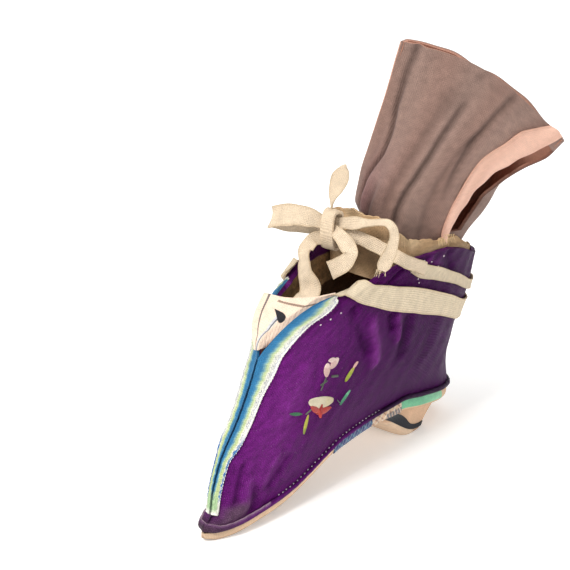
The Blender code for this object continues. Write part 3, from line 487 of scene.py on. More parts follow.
# Along as a share of the length, width of the half width, then edge, middle and top of the arch's height
SOLE_TABLE = (
    (0.003, 0.06, 0.08, 0.08, 0.20), (0.030, 0.25, 0.02, 0.02, 0.20), (0.085, 0.50, 0.06, 0.00, 0.24),
    (0.146, 0.62, 0.13, 0.00, 0.31), (0.208, 0.69, 0.19, 0.00, 0.38), (0.255, 0.73, 0.27, 0.06, 0.46),
    (0.323, 0.79, 0.47, 0.39, 0.67), (0.385, 0.84, 0.69, 0.67, 0.89), (0.460, 0.89, 0.90, 0.90, 1.10),
    (0.592, 0.95, 1.00, 1.00, 1.20), (0.708, 0.99, 0.94, 0.94, 1.21), (0.800, 1.00, 0.74, 0.74, 1.04),
    (0.885, 0.98, 0.60, 0.60, 0.87), (0.946, 0.83, 0.53, 0.53, 0.76), (0.985, 0.50, 0.51, 0.51, 0.71),
    (1.000, 0.10, 0.52, 0.52, 0.70),
)
WIDTH, EDGE, MIDDLE, TOP = 1, 2, 3, 4
# The ridge and then the throat's edge: level, and shares of throat reach, instep height and throat half width
FRONT_TABLE = (
    (0.00, 0.010, 0.05, 0.00), (0.10, 0.080, 0.12, 0.00), (0.22, 0.105, 0.22, 0.00), (0.34, 0.170, 0.35, 0.00),
    (0.48, 0.342, 0.53, 0.00), (0.60, 0.456, 0.68, 0.00), (0.70, 0.518, 0.78, 0.00), (0.78, 0.596, 0.88, 0.31),
    (0.90, 0.798, 0.97, 0.68), (1.00, 1.000, 1.00, 1.00),
)
# The back line: level, and shares of the back's lean beyond the sole and of its height
BACK_TABLE = ((0.00, 0.05, 0.17), (0.25, -0.18, 0.37), (0.50, -0.06, 0.58), (0.75, 0.50, 0.81), (1.00, 1.00, 1.00))
# Half widths at four levels above the sole, as shares of the ankle's, a row for each share
WIDTH_TABLE = (
    (0.000, 0.00, 0.00, 0.152, 0.49), (0.012, 0.15, 0.18, 0.23, 0.505), (0.030, 0.25, 0.30, 0.32, 0.53),
    (0.060, 0.33, 0.39, 0.42, 0.57), (0.140, 0.46, 0.52, 0.55, 0.675), (0.250, 0.58, 0.65, 0.69, 0.83),
    (0.450, 0.70, 0.81, 0.87, 0.98), (0.600, 0.75, 0.88, 0.945, 1.00), (0.750, 0.78, 0.91, 0.97, 0.94),
    (0.860, 0.73, 0.825, 0.89, 0.81), (0.930, 0.60, 0.660, 0.72, 0.64), (0.975, 0.38, 0.410, 0.46, 0.41),
    (1.000, 0.00, 0.00, 0.00, 0.00),
)
WIDTH_LEVELS = (0.0, 0.25, 0.50, 0.78, 1.00)
# How far the collar arches over the line from instep to back, as shares of its crown
COLLAR_TABLE = (
    (0.00, 0.00), (0.10, 0.25), (0.22, 0.80), (0.40, 1.15), (0.57, 1.15), (0.75, 0.75), (0.88, 0.15), (1.00, 0.00),
)
print("sole mm", SOLE_LENGTH / MM, 2 * SOLE_HALF_WIDTH / MM)

# %% [markdown]
# A level of the last starts on the front line, ends on the back line and rises with the arch beneath it. Its
# width blends from the sole's outline, at the bottom, to the ankle's.

# %% The last
def sole(column, along):
    unit = SOLE_HALF_WIDTH if column == WIDTH else ARCH_HEIGHT
    return unit * read(SOLE_TABLE, column, along / SOLE_LENGTH)


def front_line(level):
    """Half width, distance from the toe and height of the ridge or the throat's edge."""
    half, along, height = (read(FRONT_TABLE, column, level) for column in (3, 1, 2))
    return THROAT_HALF_WIDTH * half, THROAT_REACH * along, INSTEP_HEIGHT * height


def last_row(shares, level):
    """Points of the last's left half along one level: half width, distance from the toe, height."""
    front_half, front_along, front_height = front_line(level)
    back_along = SOLE_LENGTH + BACK_LEAN * read(BACK_TABLE, 1, level)
    back_height = BACK_HEIGHT * read(BACK_TABLE, 2, level)
    along = front_along + (back_along - front_along) * shares
    toe_along = THROAT_REACH * FRONT_TABLE[0][1]
    heel_along = SOLE_LENGTH + BACK_LEAN * BACK_TABLE[0][1]
    seam = sole(TOP, toe_along + (heel_along - toe_along) * shares) + CLEARANCE
    seam_line = (1 - shares) * INSTEP_HEIGHT * FRONT_TABLE[0][2] + shares * BACK_HEIGHT * BACK_TABLE[0][2]
    arch = COLLAR_CROWN * read(COLLAR_TABLE, 1, shares)
    height = (1 - shares) * front_height + shares * back_height
    height = height + (seam - seam_line) * (1 - level) ** 1.3 + arch * level**1.5
    rows = [ANKLE_HALF_WIDTH * read(WIDTH_TABLE, column, shares) for column in range(1, 5)]
    tip = np.minimum(1.0, shares / WIDTH_TABLE[1][0]) * np.minimum(1.0, (1 - shares) / 0.015) ** 0.5
    bottom = (sole(WIDTH, along) + SEWN_MARGIN) * tip
    half = smooth(WIDTH_LEVELS, np.array([bottom] + rows), level)
    table_front = smooth(WIDTH_LEVELS, ANKLE_HALF_WIDTH * np.array(WIDTH_TABLE[0]), level)
    half = half + (front_half - table_front) * np.maximum(0.0, 1 - shares / 0.06)
    return np.stack((half, along, height), -1)


SHARES = np.concatenate((np.linspace(0, 0.06, 16)[:-1], np.linspace(0.06, 0.9, 92)[:-1], np.linspace(0.9, 1, 24)))
LEVELS = np.linspace(0, 1, 104)
LAST = np.array([last_row(SHARES, level) for level in LEVELS])
LAST_NORMAL = np.cross(np.gradient(LAST, axis=1), np.gradient(LAST, axis=0))
LAST_NORMAL /= np.maximum(np.linalg.norm(LAST_NORMAL, axis=-1, keepdims=True), 1e-12)
# On the middle plane, at the back and along the closed ridge, the silk faces straight back or forward
LAST_NORMAL[:, -1, 0] = 0
LAST_NORMAL[LEVELS < 0.7, 0, 0] = 0
LAST_NORMAL /= np.linalg.norm(LAST_NORMAL, axis=-1, keepdims=True)
RUN = travelled(LAST, 1)
CLOTH_MM = np.stack((RUN, travelled(LAST, 0), np.zeros_like(RUN)), -1) / MM
print("last grid", LAST.shape)

# %% [markdown]
# Silk glued on a stiff lining buckles in short soft folds. They go in one by one: each one is a line on the cloth
# with a half width and a depth, so that a trough lies where the silk really buckles. Small ripples follow the weave.

# %% Folds of the silk
# Share and level of both ends, half width and depth in millimetres, where plus is a ridge
FOLDS_LEFT = (
    (0.042, 0.33, 0.042, 0.17, 1.3, -0.55), (0.101, 0.20, 0.101, 0.07, 1.6, -0.55),
    (0.070, 0.26, 0.075, 0.10, 1.5, 0.45), (0.150, 0.31, 0.115, 0.19, 1.8, 0.35),
    (0.195, 0.27, 0.150, 0.17, 1.6, -0.40), (0.13, 0.62, 0.11, 0.45, 2.6, 0.30),
    (0.261, 0.80, 0.412, 0.55, 1.7, -0.60), (0.387, 0.70, 0.471, 0.48, 2.2, 0.65),
    (0.471, 0.69, 0.504, 0.62, 1.3, -0.60), (0.504, 0.68, 0.555, 0.55, 1.6, 0.50),
    (0.571, 0.64, 0.605, 0.45, 2.3, -0.60), (0.370, 0.93, 0.375, 0.88, 1.3, -0.70),
    (0.30, 0.76, 0.33, 0.66, 2.0, 0.40), (0.70, 0.60, 0.74, 0.40, 4.0, -0.25),
    (0.50, 0.96, 0.62, 0.90, 2.0, 0.40), (0.62, 0.98, 0.70, 0.88, 1.6, -0.35),
)
FOLDS_RIGHT = (
    (0.05, 0.36, 0.05, 0.15, 1.4, -0.45), (0.09, 0.30, 0.10, 0.08, 1.7, 0.40), (0.16, 0.33, 0.13, 0.15, 1.8, -0.40),
    (0.28, 0.80, 0.40, 0.52, 2.0, -0.55), (0.36, 0.74, 0.47, 0.50, 2.2, 0.55), (0.52, 0.70, 0.56, 0.50, 2.0, -0.50),
    (0.64, 0.66, 0.66, 0.42, 2.8, 0.35), (0.45, 0.96, 0.56, 0.90, 2.0, -0.40),
)
FOLD_STRENGTH = 1.7
UPPER_RISE = 80.0


def on_flat(share, level):
    """Millimetres back and up on the silk laid flat, measured along its middle level."""
    return np.interp(share, SHARES, RUN[60]) / MM, level * UPPER_RISE


def fold_field(folds):
    """How far the silk stands out, in metres, at each point of the last's grid."""
    x, y = on_flat(SHARES[None], LEVELS[:, None])
    out = np.zeros(np.broadcast(x, y).shape)
    for s0, l0, s1, l1, wide, deep in folds:
        (ax, ay), (bx, by) = on_flat(s0, l0), on_flat(s1, l1)
        dx, dy = bx - ax, by - ay
        t = np.clip(((x - ax) * dx + (y - ay) * dy) / (dx * dx + dy * dy), 0, 1)
        gap = np.hypot(x - ax - t * dx, y - ay - t * dy)
        out += FOLD_STRENGTH * deep * np.exp(-(gap / wide) ** 2)
    ripple = 0.12 * np.sin(x * 0.75 + 2.0 * np.sin(y * 0.11)) * np.clip(LEVELS[:, None] * 3, 0, 1)
    pucker = 0.14 * np.sin(x * 2.1) * np.exp(-(y / 7.0) ** 2)
    return (out + ripple + pucker) * np.clip(LEVELS[:, None] / 0.05, 0, 1) * MM


FIELDS = {1: fold_field(FOLDS_LEFT), -1: fold_field(FOLDS_RIGHT)}
CENTRE_FADE = np.clip(SHARES / 0.02, 0, 1) * np.clip((1 - SHARES) / 0.04, 0, 1)


def on_upper(shares, levels, side, out=0.0):
    """Points on the folded silk at shares and levels, lifted by out metres."""
    shares, levels, out = np.broadcast_arrays(shares, levels, out)
    column = np.interp(shares, SHARES, np.arange(len(SHARES)))
    row = np.interp(levels, LEVELS, np.arange(len(LEVELS)))
    c = np.clip(column.astype(int), 0, len(SHARES) - 2)
    r = np.clip(row.astype(int), 0, len(LEVELS) - 2)
    u, v = (column - c)[..., None], (row - r)[..., None]

    def blend_of(grid):
        low = grid[r, c] * (1 - u) + grid[r, c + 1] * u
        high = grid[r + 1, c] * (1 - u) + grid[r + 1, c + 1] * u
        return low * (1 - v) + high * v

    normal = blend_of(LAST_NORMAL)
    normal = normal / np.linalg.norm(normal, axis=-1, keepdims=True)
    lift = blend_of((FIELDS[side] * CENTRE_FADE)[..., None])
    return (blend_of(LAST) + normal * (lift + out[..., None])) * np.array((side, 1, 1))


def share_at(level, distance):
    """The share of a level at a distance back from its front edge."""
    row = int(round(float(np.interp(level, LEVELS, np.arange(len(LEVELS))))))
    return np.interp(distance, RUN[row], SHARES)


def wrap(near, far):
    """The left half of a grid, then the right half from back to front."""
    return np.concatenate((near, far[:, ::-1][:, 1:]), 1)


print("deepest fold mm", round(float(-FIELDS[1].min() / MM), 2))

# %% [markdown]
# The silk skin has its outside, a facing turned in at the collar and a plain lining under that. All three are one
# wall here, with the colour of each band dyed on, because the eye sees them only through the collar. Low down
# the lining is painted dark brown, as painted shade deep inside the shoe.

# %% Silk upper
def upper_part():
    share, level = wrap(SHARES[None], SHARES[None]), LEVELS[:, None]
    halves = []
    for side in (1, -1):
        outer = on_upper(SHARES[None], level, side)
        inner = on_upper(SHARES[None], level, side, -UPPER_WALL)
        inner[..., 0] = np.where(np.abs(outer[..., 0]) < 1e-6, 0.0, side * np.maximum(side * inner[..., 0], 0))
        halves.append((outer, inner))
    outer, inner = (wrap(near, far) for near, far in zip(*halves))
    far_cloth = CLOTH_MM * (-1, 1, 1)
    far_cloth[..., 0] += 2 * CLOTH_MM[:, -1:, 0]
    shape = outer.shape[:2]
    near = np.arange(shape[1])[None] < len(SHARES)
    # Painted light and shade: lighter towards the front and darker towards the heel, as the light falls, with painted
    # shade down in each fold and a painted highlight along its crest
    folds = wrap(FIELDS[1], FIELDS[-1]) / MM
    painted_light = np.exp(-((share - 0.10) / 0.12) ** 2) * np.exp(-((level - 0.5) / 0.35) ** 2)
    dust = np.exp(-((share - 0.05) / 0.04) ** 4) * np.exp(-((level - 0.09) / 0.06) ** 4) * near
    toe = np.exp(-(share / 0.03) ** 2) * np.exp(-(level / 0.07) ** 2)
    outside = dyed(
        shape, "#501058", ("#7a2a82", 0.6 * painted_light), ("#340a3c", 0.75 * np.clip((share - 0.25) / 0.4, 0, 1)),
        ("#1f0526", 0.65 * np.clip(-folds - 0.15, 0, 1)), ("#8d3c95", 0.5 * np.clip(folds - 0.15, 0, 1)),
        ("#5f4a58", 0.8 * dust), ("#574b4e", 0.75 * toe))
    # Inside: purple facing at the top, beige lining below it, and under level 0.7 the lining painted dark brown as
    # painted shade
    inside = dyed(shape, "#5a1f63", ("#b8966c", level < 0.86), ("#6e543e", level < 0.7))
    return shell(outer, inner, wrap(CLOTH_MM, far_cloth), outside, inside)


upper = add_cloth("silk_upper", upper_part(), silk, "purple_silk", "upper")

# %% [markdown]
# Piping covers the seam between silk and sole. It is a bias strip rolled over a cord, so a thin half round. At
# the toe it is rubbed pale on top and dirty below, and behind the arch it lies in shade.

# %% Piping
PIPING_LEVEL = 0.045


def piping_part():
    shares = np.concatenate((np.linspace(0, 0.06, 24)[:-1], np.linspace(0.06, 1, 170)))[None]
    around = np.linspace(0, 2 * math.pi, 11)[:-1][:, None]
    level = PIPING_LEVEL * (0.5 - 0.5 * np.cos(around))
    out = (0.62 + 0.72 * np.sin(around)) * MM
    points = wrap(on_upper(shares, level, 1, out), on_upper(shares, level, -1, out))[:, :-1]
    rows, columns = points.shape[:2]
    share = wrap(shares, shares)[:, :-1]
    top = np.clip(-np.cos(around), 0, 1) ** 2
    dye = dyed(
        (rows, columns), "#5c1868", ("#cdb2bd", 0.7 * top**3 * (share < 0.17)),
        ("#43353c", 0.9 * (1 - top) * np.exp(-(share / 0.08) ** 2)),
        ("#24182a", 0.85 * np.clip((share - 0.5) / 0.12, 0, 1)))
    cloth = threads_of(np.arange(columns)[None] * 0.75, around * 1.2)
    return points, grid_quads(rows, columns, True, True).reshape(-1, 4).tolist(), cloth, dye


add_cloth("silk_piping", piping_part(), silk, "purple_silk", "sole_binding")

# %% [markdown]
# Stitches show as small raised bars. Each is modelled, because bump alone would vanish at this size, and all the
# stitches of one kind are joined into one mesh.

# %% Stitches
def bead(place, normal, along, code, long, wide, high):
    """One stitch: a small rounded bar lying on the cloth. Sizes in millimetres."""
    along = along - normal * (along @ normal)
    along = along / np.linalg.norm(along)
    across = np.cross(normal, along)
    points = [place + (along * long * step + across * wide * size * math.cos(turn)
                       + normal * high * (size * math.sin(turn) + 0.3)) * MM
              for step, size in ((-1, 0.25), (-0.5, 0.9), (0.5, 0.9), (1, 0.25))
              for turn in np.arange(6) * math.pi / 3]
    faces = grid_quads(4, 6, round_columns=True).reshape(-1, 4).tolist()
    return plain_part(points, [*faces, tuple(range(5, -1, -1)), tuple(range(18, 24))], code)


def frame_on_upper(share, level, side, out):
    """A point on the silk, its outward direction, and the way along its level."""
    point = on_upper(share, level, side, out)
    along = on_upper(min(1, share + 0.004), level, side, out) - on_upper(max(0, share - 0.004), level, side, out)
    normal = np.cross(along, on_upper(share, min(1, level + 0.006), side, out) - point) * side
    return point, normal / np.linalg.norm(normal), along / np.linalg.norm(along)


def add_stitches(name, places, code, **sizes):
    """Stitches as one mesh: each place is (share, level, side, out in millimetres, turn in degrees)."""
    parts = []
    for share, level, side, out, turn in places:
        point, normal, along = frame_on_upper(share, level, side, out * MM)
        turn = math.radians(turn)
        way = along * math.cos(turn) + np.cross(normal, along) * math.sin(turn)
        parts.append(bead(point, normal, way, code, **sizes))
    add_cloth(name, join_parts(parts), floss, "ribbon_trim")


piping_spots = [(share, 0.050, side, 0.15, 20 * math.sin(70 * share))
                for side in (1, -1) for share in np.linspace(0.20, 0.60, 30)]
add_stitches("piping_stitches", piping_spots, "#f4ecf0", long=0.28, wide=0.20, high=0.2)
hole_spots = [
    (0.126, 0.798, 1, 0.1, 0), (0.165, 0.800, 1, 0.1, 20), (0.20, 0.808, 1, 0.1, 0), (0.471, 0.966, 1, 0.1, 40),
    (0.52, 0.95, 1, 0.1, 0), (0.45, 0.905, 1, 0.1, 80), (0.49, 0.89, 1, 0.1, 10), (0.53, 0.845, 1, 0.1, 50),
    (0.60, 0.90, 1, 0.1, 0), (0.62, 0.84, 1, 0.1, 30), (0.55, 0.82, 1, 0.1, 0), (0.60, 0.96, 1, 0.1, 60),
    (0.48, 0.93, -1, 0.1, 0), (0.55, 0.90, -1, 0.1, 0),
]
add_stitches("collar_stitch_ends", hole_spots, "#efdfe4", long=0.36, wide=0.26, high=0.22)

# %% [markdown]
# Three ribbons run beside the ridge: blue, yellow-green, and white with grey-blue dots. They are sewn edge to
# edge, so one strip carries all three, dyed by the share of its width. The thick threads of the dots are
# stitched on as geometry.

# %% Ribbons
RIBBON_WIDTH = 6.6
# Level, and the strip's reach as a share of the ribbon's width
RIBBON_ROWS = (
    (0.10, 0.36), (0.34, 0.40), (0.41, 0.66), (0.54, 0.74), (0.65, 1.00), (0.74, 1.14), (0.78, 1.20), (0.82, 1.40),
    (0.86, 1.95), (0.90, 1.75), (0.95, 0.95), (1.00, 0.30),
)


def ribbon_reach(level):
    return RIBBON_WIDTH * read(RIBBON_ROWS, 1, level)


def below(value, edge, soft=0.03):
    """1 below an edge and 0 above it, with a soft step."""
    return 1 / (1 + np.exp((value - edge) / soft))


def ribbon_dye(part, level):
    """Colour across the ribbons, where part runs from the ridge to the outer edge."""
    blue_edge = np.interp(level, (0.16, 0.26, 0.55, 0.75, 1.0), (0.0, 0.24, 0.36, 0.38, 0.36))
    green_edge = np.interp(level, (0.10, 0.30, 0.45, 0.75, 1.0), (0.76, 0.74, 0.64, 0.62, 0.62))
    part = part + 0.025 * np.sin(level * 150) + 0.02 * np.sin(level * 331 + 1)
    low = np.clip((0.44 - level) / 0.05, 0, 1) * np.clip((level - 0.17) / 0.04, 0, 1)
    toe = np.clip((0.24 - level) / 0.05, 0, 1)
    return dyed(
        part.shape, "#dad9d0", ("#b3c188", below(part, green_edge)), ("#6fa0ae", below(part, blue_edge + 0.10)),
        ("#246a96", below(part, blue_edge) * (blue_edge > 0.02)),
        ("#8b93ac", 0.75 * np.exp(-((part - 0.86) / 0.025) ** 2) * (level > 0.45)),
        ("#f4f1ec", 0.8 * (part > 0.91) * (level > 0.45)),
        ("#2563a0", 0.95 * low * (part > 0.80 + 0.05 * np.sin(level * 260))),
        ("#9fc095", 0.8 * toe * (part < 0.75)), ("#eceae2", 0.9 * np.clip((0.14 - level) / 0.03, 0, 1)))


def ribbon_part(side):
    level, parts = np.linspace(0.10, 1.0, 200)[:, None], np.linspace(0, 1, 25)[None]
    reach = ribbon_reach(level)
    shares = np.array([share_at(*row) for row in zip(level[:, 0], parts * reach * MM)])
    # Below the throat the two sides meet, so each stops just short of the ridge
    shares = np.maximum(shares, np.where(level < 0.7, 0.001, 0.0))
    profile = 0.92 + 0.12 * np.cos(parts * 6 * math.pi) - 0.25 * (parts > 0.98)
    wave = 0.06 * np.sin(level * 180 + parts * 3)
    outer = on_upper(shares, level, side, (profile + wave) * MM)
    inner = on_upper(shares, level, side, 0.12 * MM)
    return shell(outer, inner, threads_of(parts * reach, level * 75), ribbon_dye(parts, level))


edge_spots, dot_spots = [], []
for side, word in ((1, "left"), (-1, "right")):
    add_cloth("ribbon_" + word, ribbon_part(side), ribbon_silk, "ribbon_trim", "vamp_ribbon_" + word)
    for number, level in enumerate(np.linspace(0.13, 0.90, 120)):
        wide, odd = ribbon_reach(level) * MM, number % 2
        edge_spots.append((float(share_at(level, wide * 0.97)), level, side, 0.75, 60 + 50 * odd))
        if level > 0.42:
            dot_spots.append((float(share_at(level, wide * (0.70 + 0.05 * odd))), level, side, 0.85, 40 + 70 * odd))
add_stitches("ribbon_edge_stitches", edge_spots, "#f1efe8", long=0.42, wide=0.16, high=0.16)
add_stitches("ribbon_dots", dot_spots, "#9a9db0", long=0.34, wide=0.13, high=0.14)

# %% [markdown]
# The flower spray is satin stitch: silk floss laid side by side across each petal. Each petal is a low patch
# with fine ribs, fitted on the silk and shaped by its two ends and its width.

# %% Petals
def petal(side, start, end, wide, base, tip=None, tilt=0.0, blunt=0.6, ribs=9, height=0.34):
    """A leaf-shaped patch from start to end, both (share, level). Width in millimetres."""
    start, end = np.array(start), np.array(end)
    # How far one step of share or of level goes on the silk there, in millimetres, and the way back
    middle, step = (start + end) / 2, 0.01
    ways = [(on_upper(*(middle + nudge), side) - on_upper(*(middle - nudge), side)) / (2 * step) / MM
            for nudge in np.eye(2) * step]
    to_cloth = np.stack(ways, 1)
    way = to_cloth @ (end - start)
    across = np.cross(np.cross(ways[0], ways[1]), way)
    across = np.linalg.pinv(to_cloth) @ (across / np.linalg.norm(across))
    along, cross = np.linspace(0, 1, 26)[:, None], np.linspace(-1, 1, 2 * ribs + 1)[None]
    body = np.sin(math.pi * along ** (1 / (1 + tilt))) ** blunt
    offset = body * cross * wide / 2
    share, level = (start[k] + along * (end[k] - start[k]) + offset * across[k] for k in (0, 1))
    rib = 0.5 + 0.5 * np.cos(cross * ribs * math.pi)
    dome = height * (1 - 0.6 * cross**2) * np.minimum(1, 6 * body) + 0.05 * rib + 0.12
    top, low = on_upper(share, level, side, dome * MM), on_upper(share, level, side, -0.1 * MM)
    dye = dyed(offset.shape, base, (tip or base, np.clip((along - 0.6) / 0.12, 0, 1)))
    return shell(top, low, threads_of(along * np.linalg.norm(way), offset), dye)


# %% [markdown]
# The spray holds a pink bud, an open flower with a red fan, leaves and thin stems. It is the same on both sides,
# as such shoes were worked from one cut-paper pattern.

# %% Embroidered spray
STEM = {"blunt": 0.12, "ribs": 2, "height": 0.22}
# Start and end as share and level, width in millimetres, colour, colour of the tip, and what else differs
PETALS = (
    ((0.236, 0.545), (0.222, 0.604), 2.6, "#ddb5ae", "#ecd0c6", {}),
    ((0.241, 0.574), (0.268, 0.602), 2.7, "#e2bcb4", "#efd6cc", {}),
    ((0.222, 0.612), (0.256, 0.604), 1.6, "#ecd2c8", None, {}),
    ((0.345, 0.468), (0.366, 0.515), 1.5, "#a9b23c", "#b9b45a", {"tilt": 0.3}),
    ((0.362, 0.512), (0.374, 0.532), 0.9, "#e8b9b0", None, {}),
    ((0.370, 0.361), (0.395, 0.405), 1.4, "#4a9470", "#74b894", {}),
    ((0.196, 0.474), (0.322, 0.416), 3.9, "#ddd2b4", "#cfc29c", {"blunt": 0.42}),
    ((0.212, 0.455), (0.272, 0.404), 2.1, "#b8322a", "#c8402f", {"height": 0.45}),
    ((0.326, 0.387), (0.256, 0.408), 2.1, "#b8322a", "#c8402f", {"height": 0.45}),
    ((0.262, 0.440), (0.286, 0.374), 1.5, "#a52a24", "#c23a30", {"height": 0.6}),
    ((0.126, 0.468), (0.190, 0.438), 1.1, "#2b7a4e", "#3a7a4c", {}),
    ((0.217, 0.425), (0.236, 0.345), 1.3, "#b7b24a", "#8d9a3c", {}),
    ((0.236, 0.545), (0.232, 0.500), 0.30, "#56604e", None, STEM),
    ((0.262, 0.535), (0.296, 0.520), 0.8, "#4a5444", None, STEM),
    ((0.222, 0.522), (0.248, 0.528), 0.5, "#4c5a48", None, STEM),
    ((0.205, 0.430), (0.222, 0.440), 0.35, "#66705a", None, STEM),
    ((0.345, 0.400), (0.372, 0.366), 0.3, "#4f6a58", None, STEM),
)
for side, word in ((1, "left"), (-1, "right")):
    spray = join_parts([petal(side, *row, **shape) for *row, shape in PETALS])
    add_cloth("flower_spray_" + word, spray, floss, "ribbon_trim")

# %% [markdown]
# The sole is layered cotton, stitched flat and whitened. Walking has left a dark line along the toe's edge and
# a browner tread. It is a closed section carried from toe to heel, with a rounded side.

# %% Sole
def sole_part():
    toe, waist, heel = ((0.003, 0.06, 20), (0.06, 0.96, 150), (0.96, 1, 14))
    alongs = np.concatenate((np.linspace(*toe)[:-1], np.linspace(*waist)[:-1], np.linspace(*heel)))
    y = alongs * SOLE_LENGTH
    width, edge, middle, top = (sole(column, y) for column in (WIDTH, EDGE, MIDDLE, TOP))
    shoulder = middle + (edge - middle) * 0.4
    narrow = np.clip(width / (3 * MM), 0, 1)
    profile = [(width + 0.35 * MM * math.sin(math.pi * part) * narrow, top + (edge - top) * part)
               for part in np.linspace(0, 1, 7)]
    tread = ((0.92, edge + (shoulder - edge) * 0.35), (0.78, shoulder), (0.6, (shoulder + middle) / 2),
             (0.4, middle), (0.2, middle))
    profile += [(width * share, z) for share, z in tread]
    left = np.array([np.stack((x, y, z), -1) for x, z in profile])
    ring = np.concatenate((left, left[::-1] * (-1, 1, 1)))
    rows, columns = ring.shape[:2]
    quads = grid_quads(rows, columns, round_rows=True).reshape(-1, 4).tolist()
    ends = [list(range(0, rows * columns, columns)), list(range(rows * columns - 1, 0, -columns))]
    girth = np.concatenate((np.arange(len(profile)), 40 - np.arange(len(profile)))) * 0.6
    depth = np.concatenate((np.linspace(0, 1, 7), np.ones(10), np.linspace(1, 0, 7)))[:, None]
    dirt = np.exp(-((depth - 1.0) / 0.12) ** 2) * (alongs < 0.45) * (0.6 + 0.4 * np.sin(alongs * 90))
    dye = dyed((rows, columns), "#dcbc9c", ("#4a4038", 0.75 * dirt), ("#a98e74", 0.5 * (depth >= 1)),
               ("#8a7a6c", 0.35 * np.exp(-(alongs / 0.08) ** 2)[None]))
    return ring, quads + ends, threads_of(alongs[None] * 130, girth[:, None]), dye


add_cloth("cotton_sole", sole_part(), cream_cotton, "sole_cotton", "outsole", sharp=50)

# %% [markdown]
# The sole's edge carries embroidery under the arch, blue and then peach, and a strip of green silk before the
# heel. Each is a thin patch laid on the edge, and rough threads lift its surface.

# %% Trims on the sole's edge
def edge_strip(y0, y1, low, high, dye_at, out, rough, side):
    """Cloth laid on the sole's edge from y0 to y1 in millimetres, between two shares of its height."""
    y = np.linspace(y0, y1, max(12, int((y1 - y0) * 4)))[:, None]
    parts = np.linspace(low, high, 12)[None]
    width, edge, top = (sole(column, y * MM) for column in (WIDTH, EDGE, TOP))
    z = edge + (top - edge) * parts
    bulge = 0.35 * np.sin(math.pi * parts)
    threads = rough * np.sin(y * 5.5 + parts * 9) * np.sin(parts * 14)
    outer, inner = (np.stack((side * (width + (bulge + lift) * MM), np.broadcast_to(y * MM, z.shape), z), -1)
                    for lift in (out + threads, 0.04))
    return shell(outer, inner, threads_of(outer[..., 1] / MM, outer[..., 2] / MM), dye_at(*np.broadcast_arrays(y, parts)))


def blue_dye(y, part):
    return dyed(y.shape, "#26427f", ("#4d86a2", 0.9 * (np.sin(y * 1.9 + part * 5) > 0.72)),
                ("#c9cfd2", 0.8 * (np.sin(y * 3.1 - part * 7 + 1) > 0.93)))


def peach_dye(y, part):
    return dyed(y.shape, "#edc9a6", ("#9c5f4a", 0.8 * (np.sin(y * 2.3 + part * 8) > 0.72)),
                ("#f4e4d2", 0.8 * (np.sin(y * 1.7 - part * 6) > 0.6)),
                ("#5e5f6e", 0.9 * (y > 84) * (part < 0.5) * (np.sin(y * 4 + part * 9) > -0.5)))


def green_dye(y, part):
    return dyed(y.shape, "#6fbd92", ("#a4d8b4", np.clip((y - 104) / 12, 0, 1) * 0.6), ("#ead9b0", 0.9 * (part < 0.12)))


for side, word in ((1, "left"), (-1, "right")):
    trims = [edge_strip(56, 76, -0.05, 0.98, blue_dye, 0.5, 0.10, side),
             edge_strip(76.2, 92.5, -0.1, 0.98, peach_dye, 0.55, 0.14, side)]
    add_cloth("sole_edge_embroidery_" + word, join_parts(trims), floss, "ribbon_trim")
    green = edge_strip(92.7, 118, 0.22, 0.96, green_dye, 0.38, 0.0, side)
    add_cloth("sole_edge_green_silk_" + word, green, ribbon_silk, "ribbon_trim")

# %% [markdown]
# The heel is a wooden block covered in the same cotton. It leans forward from a small foot to a wide seat, so it
# is a stack of rings whose corners are rounded, and the lowest ring is drawn in where the cloth turns under.

# %% Heel
HEEL_LENGTH, HEEL_HALF_WIDTH, HEEL_FLARE = 12 * MM, 9.6 * MM, 1.1 * MM
HEEL_FRONT_REACH, HEEL_BACK_REACH = 16 * MM, 11 * MM


def heel_line(height):
    """Front and back of the heel at a share of its height."""
    return (HEEL_CENTRE - HEEL_LENGTH / 2 - HEEL_FRONT_REACH * height,
            HEEL_CENTRE + HEEL_LENGTH / 2 + HEEL_BACK_REACH * height**1.2)


def heel_seat(along):
    return np.minimum(sole(MIDDLE, along), sole(EDGE, along)) - CLEARANCE * 0.2


def heel_ring(height, grow):
    turns = np.arange(96) * 2 * math.pi / 96
    across, ahead = np.cos(turns), np.sin(turns)
    run = np.sign(ahead) * np.abs(ahead) ** 0.6
    (front, back), (top_front, top_back) = heel_line(height), heel_line(1)
    half = HEEL_HALF_WIDTH + HEEL_FLARE * height + grow
    seat = heel_seat((top_front + top_back) / 2 + run * (top_back - top_front) / 2)
    x = half * np.sign(across) * np.abs(across) ** 0.45
    return np.stack((x, (front + back) / 2 + ((back - front) / 2 + grow) * run, seat * height), -1)


def heel_part():
    rings = np.array([heel_ring(h, -0.5 * MM * max(0, 1 - h / 0.08) ** 2) for h in np.linspace(0, 1, 26)])
    count, length = rings.shape[:2]
    faces = grid_quads(count, length, round_columns=True).reshape(-1, 4).tolist()
    # Strips across each end ring close the heel's foot and its seat
    for start in (0, (count - 1) * length):
        for k in range(-length // 4, length // 4):
            pair = (k, k + 1, length // 2 - k - 1, length // 2 - k)
            faces.append(tuple(dict.fromkeys(start + c % length for c in pair)))
    y, z = rings[..., 1] / MM, rings[..., 2] / MM
    dye = dyed((count, length), "#d6b294", ("#8b6d55", 0.6 * np.exp(-(z / 1.2) ** 2)),
               ("#b38f74", 0.6 * np.clip((z - 9) / 4, 0, 1)), ("#ecd6bc", 0.6 * (y < 92 + (13 - z)) * (z < 9)))
    return rings, faces, threads_of(y, z), dye


add_cloth("cotton_heel", heel_part(), cream_cotton, "sole_cotton", "heel", sharp=50)

# %% [markdown]
# A black cloth leaf is applied to each side of the heel. It is a thin patch cut to a wave: broad in front, drawn
# out to a band at the back, and fitted to the heel's rounded side.

